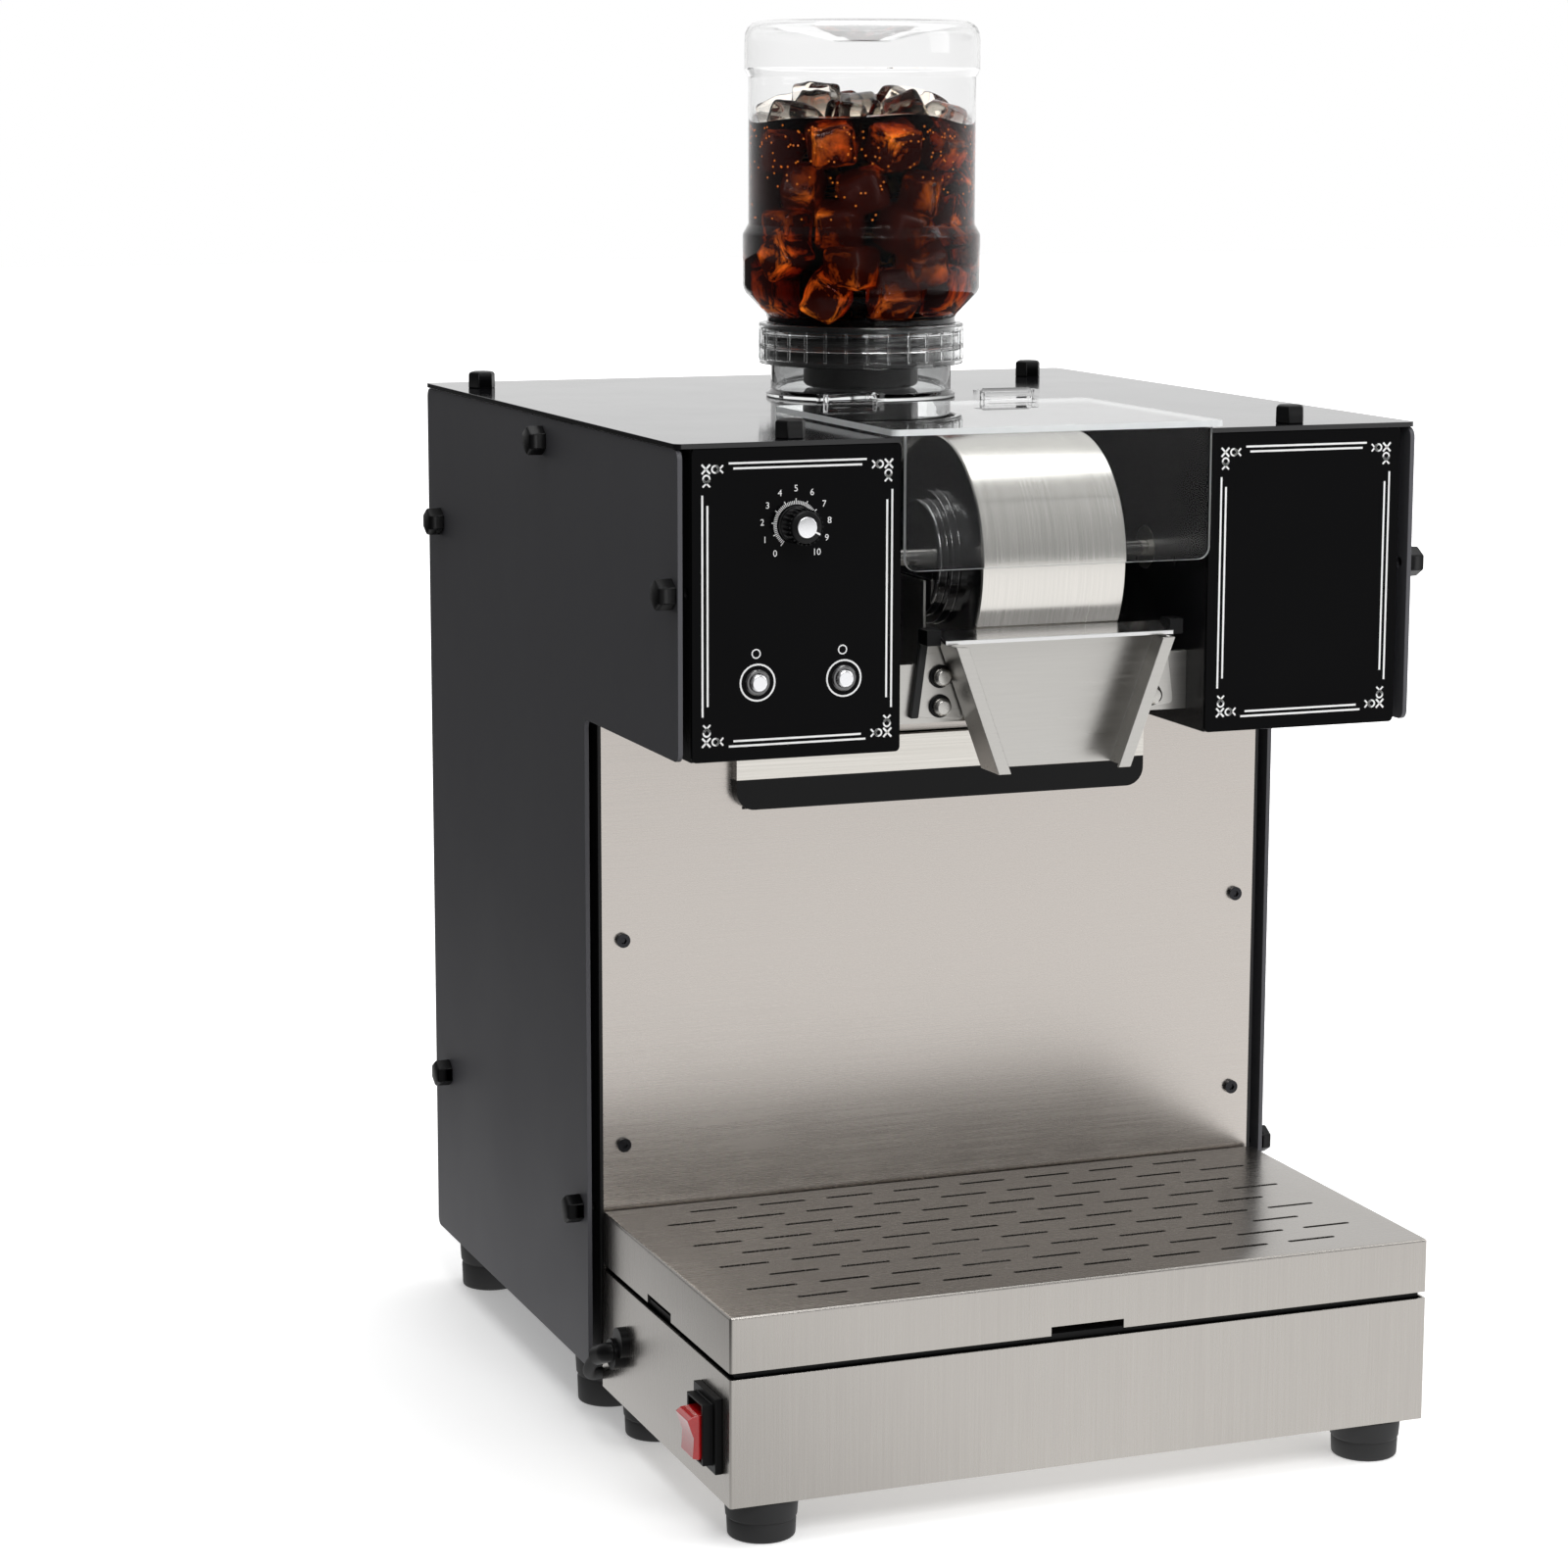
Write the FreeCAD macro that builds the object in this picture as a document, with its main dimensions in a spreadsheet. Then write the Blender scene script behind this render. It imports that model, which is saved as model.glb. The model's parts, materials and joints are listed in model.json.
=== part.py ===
"""Countertop shaved ice machine with a chilled drum, a scraper chute and a bottle feed.

Millimetres. +X to the operator's right, +Y to the rear, +Z up. The origin lies on the counter
under the middle of the machine's plan, so every height is a height above the counter.
Depths are worked from the front faces of the two head boxes, at the sheet's face_y.
"""
import FreeCAD, Part
import math
import os
import Sketcher
from types import SimpleNamespace

DRIVING = {
    # casing
    "panel_face": 160, "panel_thick": 2, "sheet": 1.5, "frame_half": 154, "face_y": -154.35,
    "body_rear": 350.6, "body_low": 26, "head_low": 305.4, "frame_top": 427.2, "column_front": 118,
    "bay_half": 67, "panel_top": 427, "top_low": 427.3,
    # base
    "base_front": -41.9, "base_half": 153.7, "base_low": 17.1, "base_top": 69.4, "base_sheet": 1.2,
    "cover_low": 72.1, "cover_top": 94.7, "slot_long": 21.5, "slot_wide": 2.2, "slot_pitch": 31,
    "row_pitch": 15.9, "pan_floor": 59,
    # drum and scraper
    "drum_y": 58.7, "drum_z": 375, "drum_radius": 50, "drum_left": -28.5, "drum_right": 34.9,
    "drum_wall": 2, "hub_radius": 24, "hub_left": -36.7, "shaft_radius": 3.4, "scraper_x": 3.2,
    "chute_top": 346, "chute_low": 294, "chute_half_top": 48, "chute_half_low": 29,
    "gear_module": 1.2, "gear_teeth": 36, "pinion_teeth": 12,
    # controls
    "dial_x": -111.1, "dial_z": 396.8, "button_z": 335.8, "button_left": -126.9,
    "button_right": -90.9, "rocker_y": -20.5, "rocker_z": 44, "gland_y": 90, "gland_z": 41,
    # bottle and guard
    "bottle_y": 210, "bottle_top": 593, "bottle_radius": 50, "bottle_wall": 1.4, "neck_radius": 41.8,
    "cup_low": 429.5, "cup_top": 460, "guard_thick": 2.5, "guard_low": 376.8, "hinge_y": 132,
    # fasteners
    "knob_flats": 11, "knob_high": 7.5, "stud_radius": 2, "stud_hole": 2.4,
    # condensing unit
    "compressor_radius": 52, "fan_radius": 52, "fan_x": 50, "fan_z": 130, "fan_y": 280,
}

RUNNING_GAP = 0.05
PART_GAP = 0.3
SIDES = (-1, 1)


class Size:
    """A number that remembers the spreadsheet expression that it comes from."""

    def __init__(self, value, text):
        self.value = float(value)
        self.text = text

    def __add__(self, other):
        other = as_size(other)
        return Size(self.value + other.value, f"({self.text} + {other.text})")

    def __sub__(self, other):
        other = as_size(other)
        return Size(self.value - other.value, f"({self.text} - {other.text})")

    def __mul__(self, other):
        other = as_size(other)
        return Size(self.value * other.value, f"({self.text} * {other.text})")

    def __truediv__(self, other):
        other = as_size(other)
        return Size(self.value / other.value, f"({self.text} / {other.text})")

    def __neg__(self):
        return Size(-self.value, f"(0 - {self.text})")

    def __radd__(self, other):
        return as_size(other) + self

    def __rsub__(self, other):
        return as_size(other) - self

    def __rmul__(self, other):
        return as_size(other) * self


def as_size(number):
    return number if isinstance(number, Size) else Size(number, f"{number:.5f}" if number >= 0
                                                        else f"(0 - {-number:.5f})")


def make_sheet(document):
    """Put every driving dimension in the spreadsheet, and give each back as a Size."""
    sheet = document.addObject("Spreadsheet::Sheet", "Dims")
    for row, (alias, value) in enumerate(DRIVING.items(), start=1):
        sheet.set(f"A{row}", alias)
        sheet.set(f"B{row}", str(value))
        sheet.setAlias(f"B{row}", alias)
    document.recompute()
    return SimpleNamespace(**{alias: Size(value, f"Dims.{alias}") for alias, value in DRIVING.items()})


doc = FreeCAD.newDocument("ShavedIceMachine")
D = make_sheet(doc)
NODES = []
AXIS_TURN = {
    "x": FreeCAD.Rotation(FreeCAD.Vector(0, 1, 0), 90),
    "y": FreeCAD.Rotation(FreeCAD.Vector(1, 0, 0), -90),
    "z": FreeCAD.Rotation(),
}


def depth(distance):
    """A distance behind the front faces of the head boxes, as a Y coordinate."""
    return D.face_y + distance


def fresh(kind, stem):
    return doc.addObject(kind, stem + "_")


def bind(obj, **sizes):
    for name, size in sizes.items():
        obj.setExpression(name, as_size(size).text)


def place(obj, corner, turn=None):
    if turn is not None:
        obj.Placement = FreeCAD.Placement(FreeCAD.Vector(), turn)
    for axis, size in zip("xyz", corner):
        obj.setExpression(f"Placement.Base.{axis}", as_size(size).text)
    return obj


def node(label, obj):
    """Name a finished sub-part, so that it is checked and exported."""
    doc.recompute()
    obj.Label = label
    NODES.append(obj)
    return obj


# ---------------------------------------------------------------- primitives and booleans

def box(x_span, y_span, z_span):
    obj = fresh("Part::Box", "block")
    (x0, x1), (y0, y1), (z0, z1) = [[as_size(s) for s in span] for span in (x_span, y_span, z_span)]
    bind(obj, Length=x1 - x0, Width=y1 - y0, Height=z1 - z0)
    return place(obj, (x0, y0, z0))


def rod(axis, start, length, radius):
    """A cylinder along an axis, from the centre of its low end."""
    obj = fresh("Part::Cylinder", "rod")
    bind(obj, Radius=radius, Height=length)
    return place(obj, start, AXIS_TURN[axis])


def taper(start, height, low_radius, high_radius):
    obj = fresh("Part::Cone", "taper")
    bind(obj, Radius1=low_radius, Radius2=high_radius, Height=height)
    return place(obj, start)


def hexagon(axis, start, height, flats):
    obj = fresh("Part::Prism", "hexagon")
    obj.Polygon = 6
    bind(obj, Circumradius=as_size(flats) / math.sqrt(3), Height=height)
    return place(obj, start, AXIS_TURN[axis])


def ring(axis, start, length, outer, inner):
    return cut(rod(axis, start, length, outer), rod(axis, start, length, inner))


def cut(base, *tools):
    obj = fresh("Part::Cut", "cut")
    obj.Base = base
    obj.Tool = tools[0] if len(tools) == 1 else group(tools)
    return obj


def fuse(*shapes):
    obj = fresh("Part::MultiFuse", "fused")
    obj.Shapes = list(shapes)
    obj.Refine = True
    return obj


def common(base, tool):
    obj = fresh("Part::Common", "common")
    obj.Base = base
    obj.Tool = tool
    return obj


def group(shapes):
    obj = fresh("Part::Compound", "group")
    obj.Links = list(shapes)
    return obj


def moved(shape, turn_axis, angle, pivot):
    """Turn a finished shape about a fixed pivot."""
    pivot = FreeCAD.Vector(*[as_size(p).value for p in pivot])
    shape.Placement = FreeCAD.Placement(FreeCAD.Vector(), FreeCAD.Rotation(turn_axis, angle), pivot)
    return shape


# ---------------------------------------------------------------- sketched bodies

class Sketched:
    """A PartDesign body that is built from closed outlines bound to the sheet."""

    PLANES = {"xy": ("XY_Plane", 1), "xz": ("XZ_Plane", -1), "yz": ("YZ_Plane", 1)}

    def __init__(self, stem):
        self.body = fresh("PartDesign::Body", stem)

    def outline(self, plane, points, offset=0):
        role, sign = self.PLANES[plane]
        sketch = self.body.newObject("Sketcher::SketchObject", "outline_")
        support = [f for f in self.body.Origin.OriginFeatures if f.Role == role][0]
        sketch.AttachmentSupport = [(support, "")]
        sketch.MapMode = "FlatFace"
        sketch.setExpression("AttachmentOffset.Base.z", (as_size(offset) * sign).text)
        points = [[as_size(value) for value in point] for point in points]
        vectors = [FreeCAD.Vector(p[0].value, p[1].value, 0) for p in points]
        last = len(points)
        for index in range(last):
            sketch.addGeometry(Part.LineSegment(vectors[index], vectors[(index + 1) % last]), False)
        for index in range(last):
            sketch.addConstraint(Sketcher.Constraint("Coincident", index, 2, (index + 1) % last, 1))
        for index, (across, along) in enumerate(points):
            self.fix(sketch, index, "DistanceX", across, -2)
            self.fix(sketch, index, "DistanceY", along, -1)
        return sketch

    @staticmethod
    def fix(sketch, index, kind, size, axis_line):
        """Hold one corner at a bound distance from the sketch's origin, or on its axis."""
        if abs(size.value) < 1e-9:
            sketch.addConstraint(Sketcher.Constraint("PointOnObject", index, 1, axis_line))
            return
        number = sketch.addConstraint(Sketcher.Constraint(kind, -1, 1, index, 1, size.value))
        sketch.setExpression(f"Constraints[{number}]", size.text)

    def pad(self, plane, points, start, end):
        """Add an outline padded from one offset to another along the plane's row axis."""
        sketch = self.outline(plane, points, start)
        feature = self.body.newObject("PartDesign::Pad", "pad_")
        feature.Profile = sketch
        feature.setExpression("Length", (as_size(end) - start).text)
        feature.Reversed = plane == "xz"
        doc.recompute()
        return self

    def pocket(self, plane, points, start, end):
        sketch = self.outline(plane, points, start)
        feature = self.body.newObject("PartDesign::Pocket", "pocket_")
        feature.Profile = sketch
        feature.setExpression("Length", (as_size(end) - start).text)
        feature.Reversed = plane != "xz"
        doc.recompute()
        return self

    def turn(self, axis, points):
        """Revolve a profile of (along the axis, radius) points about the body's own axis."""
        plane = {"x": "xy", "y": "xy", "z": "xz"}[axis]
        profile = points if axis == "x" else [(radius, along) for along, radius in points]
        sketch = self.outline(plane, profile)
        feature = self.body.newObject("PartDesign::Revolution", "turned_")
        feature.Profile = sketch
        feature.ReferenceAxis = (sketch, ["H_Axis" if axis == "x" else "V_Axis"])
        feature.Angle = 360
        doc.recompute()
        return self

    def fillet(self, radius, wanted):
        """Round the edges of the last feature whose middle point is wanted."""
        base = self.body.Tip
        names = [f"Edge{number}" for number, edge in enumerate(base.Shape.Edges, start=1)
                 if wanted(edge)]
        feature = self.body.newObject("PartDesign::Fillet", "rounded_")
        feature.Base = (base, names)
        feature.setExpression("Radius", as_size(radius).text)
        doc.recompute()
        return self

    def at(self, *corner):
        place(self.body, corner)
        return self.body


def is_along(axis):
    """A test for straight edges that run along one row axis."""
    def test(edge):
        if not isinstance(edge.Curve, Part.Line):
            return False
        way = edge.Curve.Direction
        return abs((way.x, way.y, way.z)["xyz".index(axis)]) > 0.999
    return test


def turned(stem, axis, points, centre):
    return Sketched(stem).turn(axis, points).at(*centre)


def rectangle(across, along):
    return [(across[0], along[0]), (across[1], along[0]), (across[1], along[1]), (across[0], along[1])]


def tube(stem, points, radius):
    """A round tube whose path is straight runs joined by tangent arcs.

    Gives the tube, the path's length and the radius of each arc.
    """
    points = [FreeCAD.Vector(*[as_size(value).value for value in point]) for point in points]
    edges, bends = [], []
    start = points[0]
    for before, corner, after in zip(points, points[1:], points[2:]):
        into = (corner - before).normalize()
        out = (after - corner).normalize()
        half_turn = into.getAngle(out) / 2
        shorter = min((corner - before).Length, (after - corner).Length)
        reach = 0.45 * shorter
        arc_radius = reach / math.tan(half_turn)
        bends.append(arc_radius)
        enter = corner - into * reach
        leave = corner + out * reach
        inward = (out - into).normalize()
        centre = corner + inward * (arc_radius / math.cos(half_turn))
        middle = centre - inward * arc_radius
        edges.append(Part.LineSegment(start, enter).toShape())
        edges.append(Part.Arc(enter, middle, leave).toShape())
        start = leave
    edges.append(Part.LineSegment(start, points[-1]).toShape())
    path = Part.Wire(edges)
    section = Part.Wire([Part.Circle(points[0], points[1] - points[0], as_size(radius).value).toShape()])
    shape = path.makePipeShell([section], True, False)
    obj = fresh("Part::Feature", stem)
    obj.Shape = shape
    return obj, path.Length, bends


# ---------------------------------------------------------------- casing

# Places of the hexagonal thumb knobs on each side, as (depth, height).
SIDE_KNOBS = ((6, 371), (172, 417), (330, 367), (328, 106), (127, 94))
# Places of the thumb knobs on the top, as (x, depth).
TOP_KNOBS = ((-109, 12), (109, 12), (-145, 312), (122, 300))


def side_panel(side):
    outline = [(depth(-1), 306), (depth(-1), D.panel_top), (depth(D.body_rear), D.panel_top),
               (depth(D.body_rear), D.body_low), (depth(117), D.body_low), (depth(117), 306)]
    inner = D.panel_face - D.panel_thick
    start, end = (inner, D.panel_face) if side > 0 else (-D.panel_face, -inner)
    panel = Sketched("side_panel").pad("yz", outline, start, end).fillet(4, is_along("x"))
    holes = [rod("x", (start - 1, depth(y), z), D.panel_thick + 2, D.stud_hole) for y, z in SIDE_KNOBS]
    return cut(panel.body, *holes)


def frame_wall(side):
    front, rear = depth(1.5), depth(346)
    outline = [(front, D.head_low), (front, D.frame_top), (rear, D.frame_top), (rear, D.body_low),
               (depth(D.column_front), D.body_low), (depth(D.column_front), D.head_low)]
    inner = D.frame_half - D.sheet
    start, end = (inner, D.frame_half) if side > 0 else (-D.frame_half, -inner)
    wall = Sketched("frame_wall").pad("yz", outline, start, end)
    holes = [rod("x", (start - 1, depth(y), z), D.sheet + 2, D.stud_hole) for y, z in SIDE_KNOBS]
    return cut(wall.body, *holes)


def side_knob(side, y, z):
    """A hexagonal thumb knob on a stud that passes through the panel and the frame wall."""
    face = D.panel_face if side > 0 else -D.panel_face - D.knob_high
    stud = D.panel_face - 12 if side > 0 else -D.panel_face - 1
    return fuse(hexagon("x", (face, depth(y), z), D.knob_high, D.knob_flats),
                rod("x", (stud, depth(y), z), 13, D.stud_radius))


def panel_spacer(side, y, z):
    """The spacer that stands the side panel off the frame wall behind a thumb knob."""
    start = D.frame_half if side > 0 else -D.panel_face + D.panel_thick
    return ring("x", (start, depth(y), z), D.panel_face - D.panel_thick - D.frame_half, 4.5, D.stud_hole)


def top_knob(x, y):
    top = D.top_low + D.panel_thick
    return fuse(hexagon("z", (x, depth(y), top), D.knob_high, D.knob_flats),
                rod("z", (x, depth(y), top - 9), 10, D.stud_radius))


def top_plate():
    half, top = D.panel_face + 0.7, D.top_low + D.panel_thick
    plate = Sketched("top_plate").pad("xy", rectangle((-half, half), (depth(-0.5), depth(D.body_rear))),
                                      D.top_low, top)
    plate.fillet(3, is_along("z"))
    bay = box((-D.bay_half, D.bay_half), (depth(-2), depth(D.column_front)), (D.top_low - 1, top + 1))
    feed = rod("z", (0, depth(D.bottle_y), D.top_low - 1), D.panel_thick + 2, 8)
    holes = [rod("z", (x, depth(y), D.top_low - 1), D.panel_thick + 2, D.stud_hole) for x, y in TOP_KNOBS]
    return cut(plate.body, bay, feed, *holes)


def head_box(side):
    """The folded liner of one head box: its wall on the drum bay and its floor."""
    wall_in, wall_out = D.bay_half, D.bay_half + D.sheet
    outer = D.frame_half - D.sheet
    profile = [(wall_in, D.head_low), (outer, D.head_low), (outer, D.head_low + D.sheet),
               (wall_out, D.head_low + D.sheet), (wall_out, D.frame_top), (wall_in, D.frame_top)]
    liner = Sketched("head_box").pad("xz", [(x * side, z) for x, z in profile],
                                     depth(1.5), depth(D.column_front))
    start = (wall_in if side > 0 else -wall_out) - 1
    return cut(liner.body, rod("x", (start, depth(D.drum_y), D.drum_z), D.sheet + 2, 9))


def front_panel(side):
    """One glossy front plate; the left one carries the dial and the two buttons."""
    half = [(D.bay_half * side, D.head_low), (D.frame_half * side, D.head_low),
            (D.frame_half * side, D.frame_top), (D.bay_half * side, D.frame_top)]
    plate = Sketched("front_panel").pad("xz", half, depth(0), depth(1.5)).fillet(2, is_along("y"))
    if side > 0:
        return plate.body
    holes = [rod("y", (D.dial_x, depth(-1), D.dial_z), 4, 3.2)]
    holes += [rod("y", (x, depth(-1), D.button_z), 4, 4.9) for x in (D.button_left, D.button_right)]
    return cut(plate.body, *holes)


def back_plate():
    """The brushed plate behind the bowl, with the overflow tray's slot near its top."""
    half = D.frame_half - D.sheet
    plate = box((-half, half), (depth(D.column_front), depth(D.column_front + 1.5)), (28, 304))
    tray = box((-90, 90), (depth(D.column_front - 1), depth(D.column_front + 3)), (263.5, 293))
    holes = [rod("y", (x * side, depth(D.column_front - 1), z), 4, 1.7)
             for side in SIDES for x, z in BACK_SCREWS]
    return cut(plate, tray, *holes)


BACK_SCREWS = ((143.5, 211), (143.5, 122.5))


def button_screw(x, z):
    """A button-head screw with a hexagon socket, in the back plate."""
    face = depth(D.column_front)
    head = rod("y", (x, face - 1.9, z), 1.9, 3)
    socket = hexagon("y", (x, face - 2.1, z), 1.2, 2.4)
    return cut(fuse(head, rod("y", (x, face - 0.5, z), 8, 1.5)), socket)


def bay_screw(side):
    """A round-head screw that fixes a bearing plate to the bay's wall."""
    head = D.bay_half - 1.6 if side > 0 else -D.bay_half
    return rod("x", (head, depth(D.drum_y - 7), 390), 1.6, 3.2)


def rear_panel():
    half = D.frame_half - D.sheet
    panel = box((-half, half), (depth(344.5), depth(346)), (28, D.frame_top))
    vents = [box((-25, 125), (depth(343), depth(348)), (70 + 12 * row, 74 + 12 * row))
             for row in range(11)]
    inlet = box((-114, -86), (depth(343), depth(348)), (50, 70))
    return cut(panel, inlet, *vents)


def power_inlet():
    """The mains inlet socket: a flanged shell with three flat pins."""
    shell = fuse(box((-119, -81), (depth(346), depth(348.5)), (46, 74)),
                 box((-113.5, -86.5), (depth(322), depth(346)), (50.5, 69.5)))
    cavity = box((-111.5, -88.5), (depth(331), depth(349)), (52, 68))
    pins = [box((x - 1, x + 1), (depth(330), depth(346)), (z - 1.6, z + 1.6))
            for x, z in ((-107, 60.5), (-100, 64), (-93, 60.5))]
    return fuse(cut(shell, cavity), *pins)


def base_pan():
    half = D.frame_half - D.sheet
    return box((-half, half), (depth(D.column_front), depth(344.5)), (D.body_low, D.body_low + 2))


def bay_rear_wall():
    wall = box((-D.bay_half, D.bay_half), (depth(D.column_front - 1.5), depth(D.column_front)),
               (D.head_low, D.frame_top))
    return cut(wall, rod("y", (0, depth(D.column_front - 3), 414), 6, 4.4))


node("left_side_panel", side_panel(-1))
node("right_side_panel", side_panel(1))
node("left_frame_wall", frame_wall(-1))
node("right_frame_wall", frame_wall(1))
node("thumb_knobs", group([shape(side, y, z) for shape in (side_knob, panel_spacer)
                           for side in SIDES for y, z in SIDE_KNOBS]
                          + [top_knob(x, y) for x, y in TOP_KNOBS]))
node("top_plate", top_plate())
node("left_head_box", head_box(-1))
node("right_head_box", head_box(1))
node("left_front_panel", front_panel(-1))
node("right_front_panel", front_panel(1))
node("back_plate", back_plate())
node("casing_screws", group([button_screw(x * side, z) for side in SIDES for x, z in BACK_SCREWS]
                            + [bay_screw(side) for side in SIDES]))
node("rear_panel", rear_panel())
node("power_inlet", power_inlet())
node("base_pan", base_pan())
node("bay_rear_wall", bay_rear_wall())


# ---------------------------------------------------------------- base, feet and drip parts

FEET_BASE = ((135, -26.5), (135, 100))
FEET_BODY = ((140, 150), (140, 330))


def feet():
    low = [taper((x * side, depth(y), 0), D.base_low, 13.6, 15) for side in SIDES for x, y in FEET_BASE]
    tall = [taper((x * side, depth(y), 0), D.body_low, 13.6, 15.5) for side in SIDES for x, y in FEET_BODY]
    return group(low + tall)


def panelled(shell, half, front, rear, flat_span, wall_span):
    """A box of sheet as its flat panel and its four walls, which are cut, folded and welded at the corners."""
    far = 2 * D.panel_face
    walls = [box((-far, far), (-far, front), wall_span), box((-far, far), (rear, far), wall_span),
             box((-far, -half), (front, rear), wall_span), box((half, far), (front, rear), wall_span)]
    flat = box((-far, far), (-far, far), flat_span)
    return group([common(shell, region) for region in (flat, *walls)])


def base_box():
    """The open-topped box under the drip cover, with the switch and gland holes in its left wall."""
    wall, rear = D.base_sheet, depth(D.column_front - 0.1)
    shell = Sketched("base_box").pad("xy", rectangle((-D.base_half, D.base_half), (depth(D.base_front), rear)),
                                     D.base_low, D.base_top).fillet(1, is_along("z"))
    inside = rectangle((-D.base_half + wall, D.base_half - wall), (depth(D.base_front) + wall, rear - wall))
    shell.pocket("xy", inside, D.base_low + wall, D.base_top + 1)
    switch = box((-D.base_half - 2, -D.base_half + 4), (depth(D.rocker_y - 11.2), depth(D.rocker_y + 11.2)),
                 (D.rocker_z - 13.7, D.rocker_z + 13.7))
    gland = rod("x", (-D.base_half - 2, depth(D.gland_y), D.gland_z), 6, 5.2)
    floor_top = D.base_low + wall
    return panelled(cut(shell.body, switch, gland), D.base_half - wall, depth(D.base_front) + wall, rear - wall,
                    (D.base_low - 1, floor_top), (floor_top, D.base_top + 1))


def drip_pan():
    """The pan that hangs by its rim on the base box and catches melt water, welded from black sheet."""
    rear = D.column_front - 2.5
    rim = box((-151.2, 151.2), (depth(D.base_front + 2.5), depth(rear)), (D.base_top, D.cover_low))
    bowl = box((-149, 149), (depth(D.base_front + 4.7), depth(rear - 2.2)), (D.pan_floor, D.cover_low - 1))
    half, front, back, floor_top = 147.5, depth(D.base_front + 6.2), depth(rear - 3.7), D.pan_floor + 1.5
    hollow = box((-half, half), (front, back), (floor_top, D.cover_low + 1))
    return panelled(cut(fuse(rim, bowl), hollow), half, front, back,
                    (D.pan_floor - 1, floor_top), (floor_top, D.cover_low + 1))


def cover_slots():
    """Staggered rows of drain slots: full rows at the middle, the others half a pitch aside."""
    slots = []
    for row in range(9):
        columns = range(-4, 5) if row % 2 else [column + 0.5 for column in range(-4, 4)]
        y = depth(D.row_pitch * row - 25)
        for column in columns:
            x = D.slot_pitch * column
            straight = (D.slot_long - D.slot_wide) / 2
            slots.append(box((x - straight, x + straight), (y - D.slot_wide / 2, y + D.slot_wide / 2),
                             (D.cover_top - 3, D.cover_top + 1)))
            slots += [rod("z", (x + straight * end, y, D.cover_top - 3), 4, D.slot_wide / 2) for end in SIDES]
    return slots


def drip_cover():
    """The lift-off slotted cover, a folded tray turned upside down, short of the back plate's screw heads."""
    wall, rear = D.base_sheet, depth(D.column_front - 2.4)
    cover = Sketched("drip_cover")
    cover.pad("xy", rectangle((-D.base_half, D.base_half), (depth(D.base_front), rear)),
              D.cover_low, D.cover_top)
    cover.fillet(1.2, lambda edge: is_along("z")(edge) or edge.CenterOfMass.z > DRIVING["cover_top"] - 0.01)
    inside = rectangle((-D.base_half + wall, D.base_half - wall), (depth(D.base_front) + wall, rear - wall))
    cover.pocket("xy", inside, D.cover_low - 1, D.cover_top - wall)
    front = box((-17, 15), (depth(D.base_front - 2), depth(D.base_front + 4)), (D.cover_low - 1, D.cover_low + 3.7))
    left = box((-D.base_half - 2, -D.base_half + 4), (depth(28), depth(57)), (D.cover_low - 1, D.cover_low + 3.7))
    under = D.cover_top - wall
    return panelled(cut(cover.body, front, left, *cover_slots()), D.base_half - wall,
                    depth(D.base_front) + wall, rear - wall, (under, D.cover_top + 1), (D.cover_low - 1, under))


ROCKER_TILT = 8
ROCKER_PIVOT_X = -152
TRUNNION_RADIUS = 2
TRUNNION_HALF = 9


def rocker_housing():
    """The switch's flange and collar outside the box, its body inside it, and the pivot's sockets."""
    def span(centre, half):
        return centre - half, centre + half
    y, z, face = depth(D.rocker_y), D.rocker_z, -D.base_half
    flange = box((face - 3, face), span(y, 12.75), span(z, 15.5))
    collar = box((face - 7, face - 3), span(y, 9.5), span(z, 12.5))
    body = box((face, face + 24), span(y, 10.8), span(z, 13.3))
    hollow = box((face - 8, face + 7), span(y, 7.5), span(z, 11.5))
    pivot_hole = rod("y", (ROCKER_PIVOT_X, y - TRUNNION_HALF - 0.2, z), 2 * TRUNNION_HALF + 0.4,
                     TRUNNION_RADIUS + RUNNING_GAP)
    return cut(fuse(flange, collar, body), hollow, pivot_hole)


def rocker():
    """The red rocker at its upper-out position, tilted about its two trunnions."""
    y, z, x = depth(D.rocker_y), D.rocker_z, ROCKER_PIVOT_X
    face = [(x + 3, z - 8.5), (x + 3, z + 8.5), (x - 11, z + 9), (x - 13.2, z + 8), (x - 11.6, z),
            (x - 13.2, z - 8), (x - 11, z - 9)]
    key = Sketched("rocker").pad("xz", face, y - 7.1, y + 7.1)
    trunnions = rod("y", (x, y - TRUNNION_HALF, z), 2 * TRUNNION_HALF, TRUNNION_RADIUS)
    return moved(fuse(key.body, trunnions), FreeCAD.Vector(0, 1, 0), -ROCKER_TILT, (x, y, z))


# The link lead's route (x, depth, height): out of its boot, down past the side panel's lower
# edge and into the bush under the base pan.
LEAD_ROUTE = ((-161.8, 99, 37.5), (-162.7, 105.8, 31.6), (-161.6, 112.8, 26.2), (-157.8, 119.8, 22),
              (-151.3, 125.7, 20.2), (-142.7, 128.5, 20.2))
LEAD_RADIUS = 2.6
BUSH_END = (-137, 130.4, 20.2)


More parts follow.
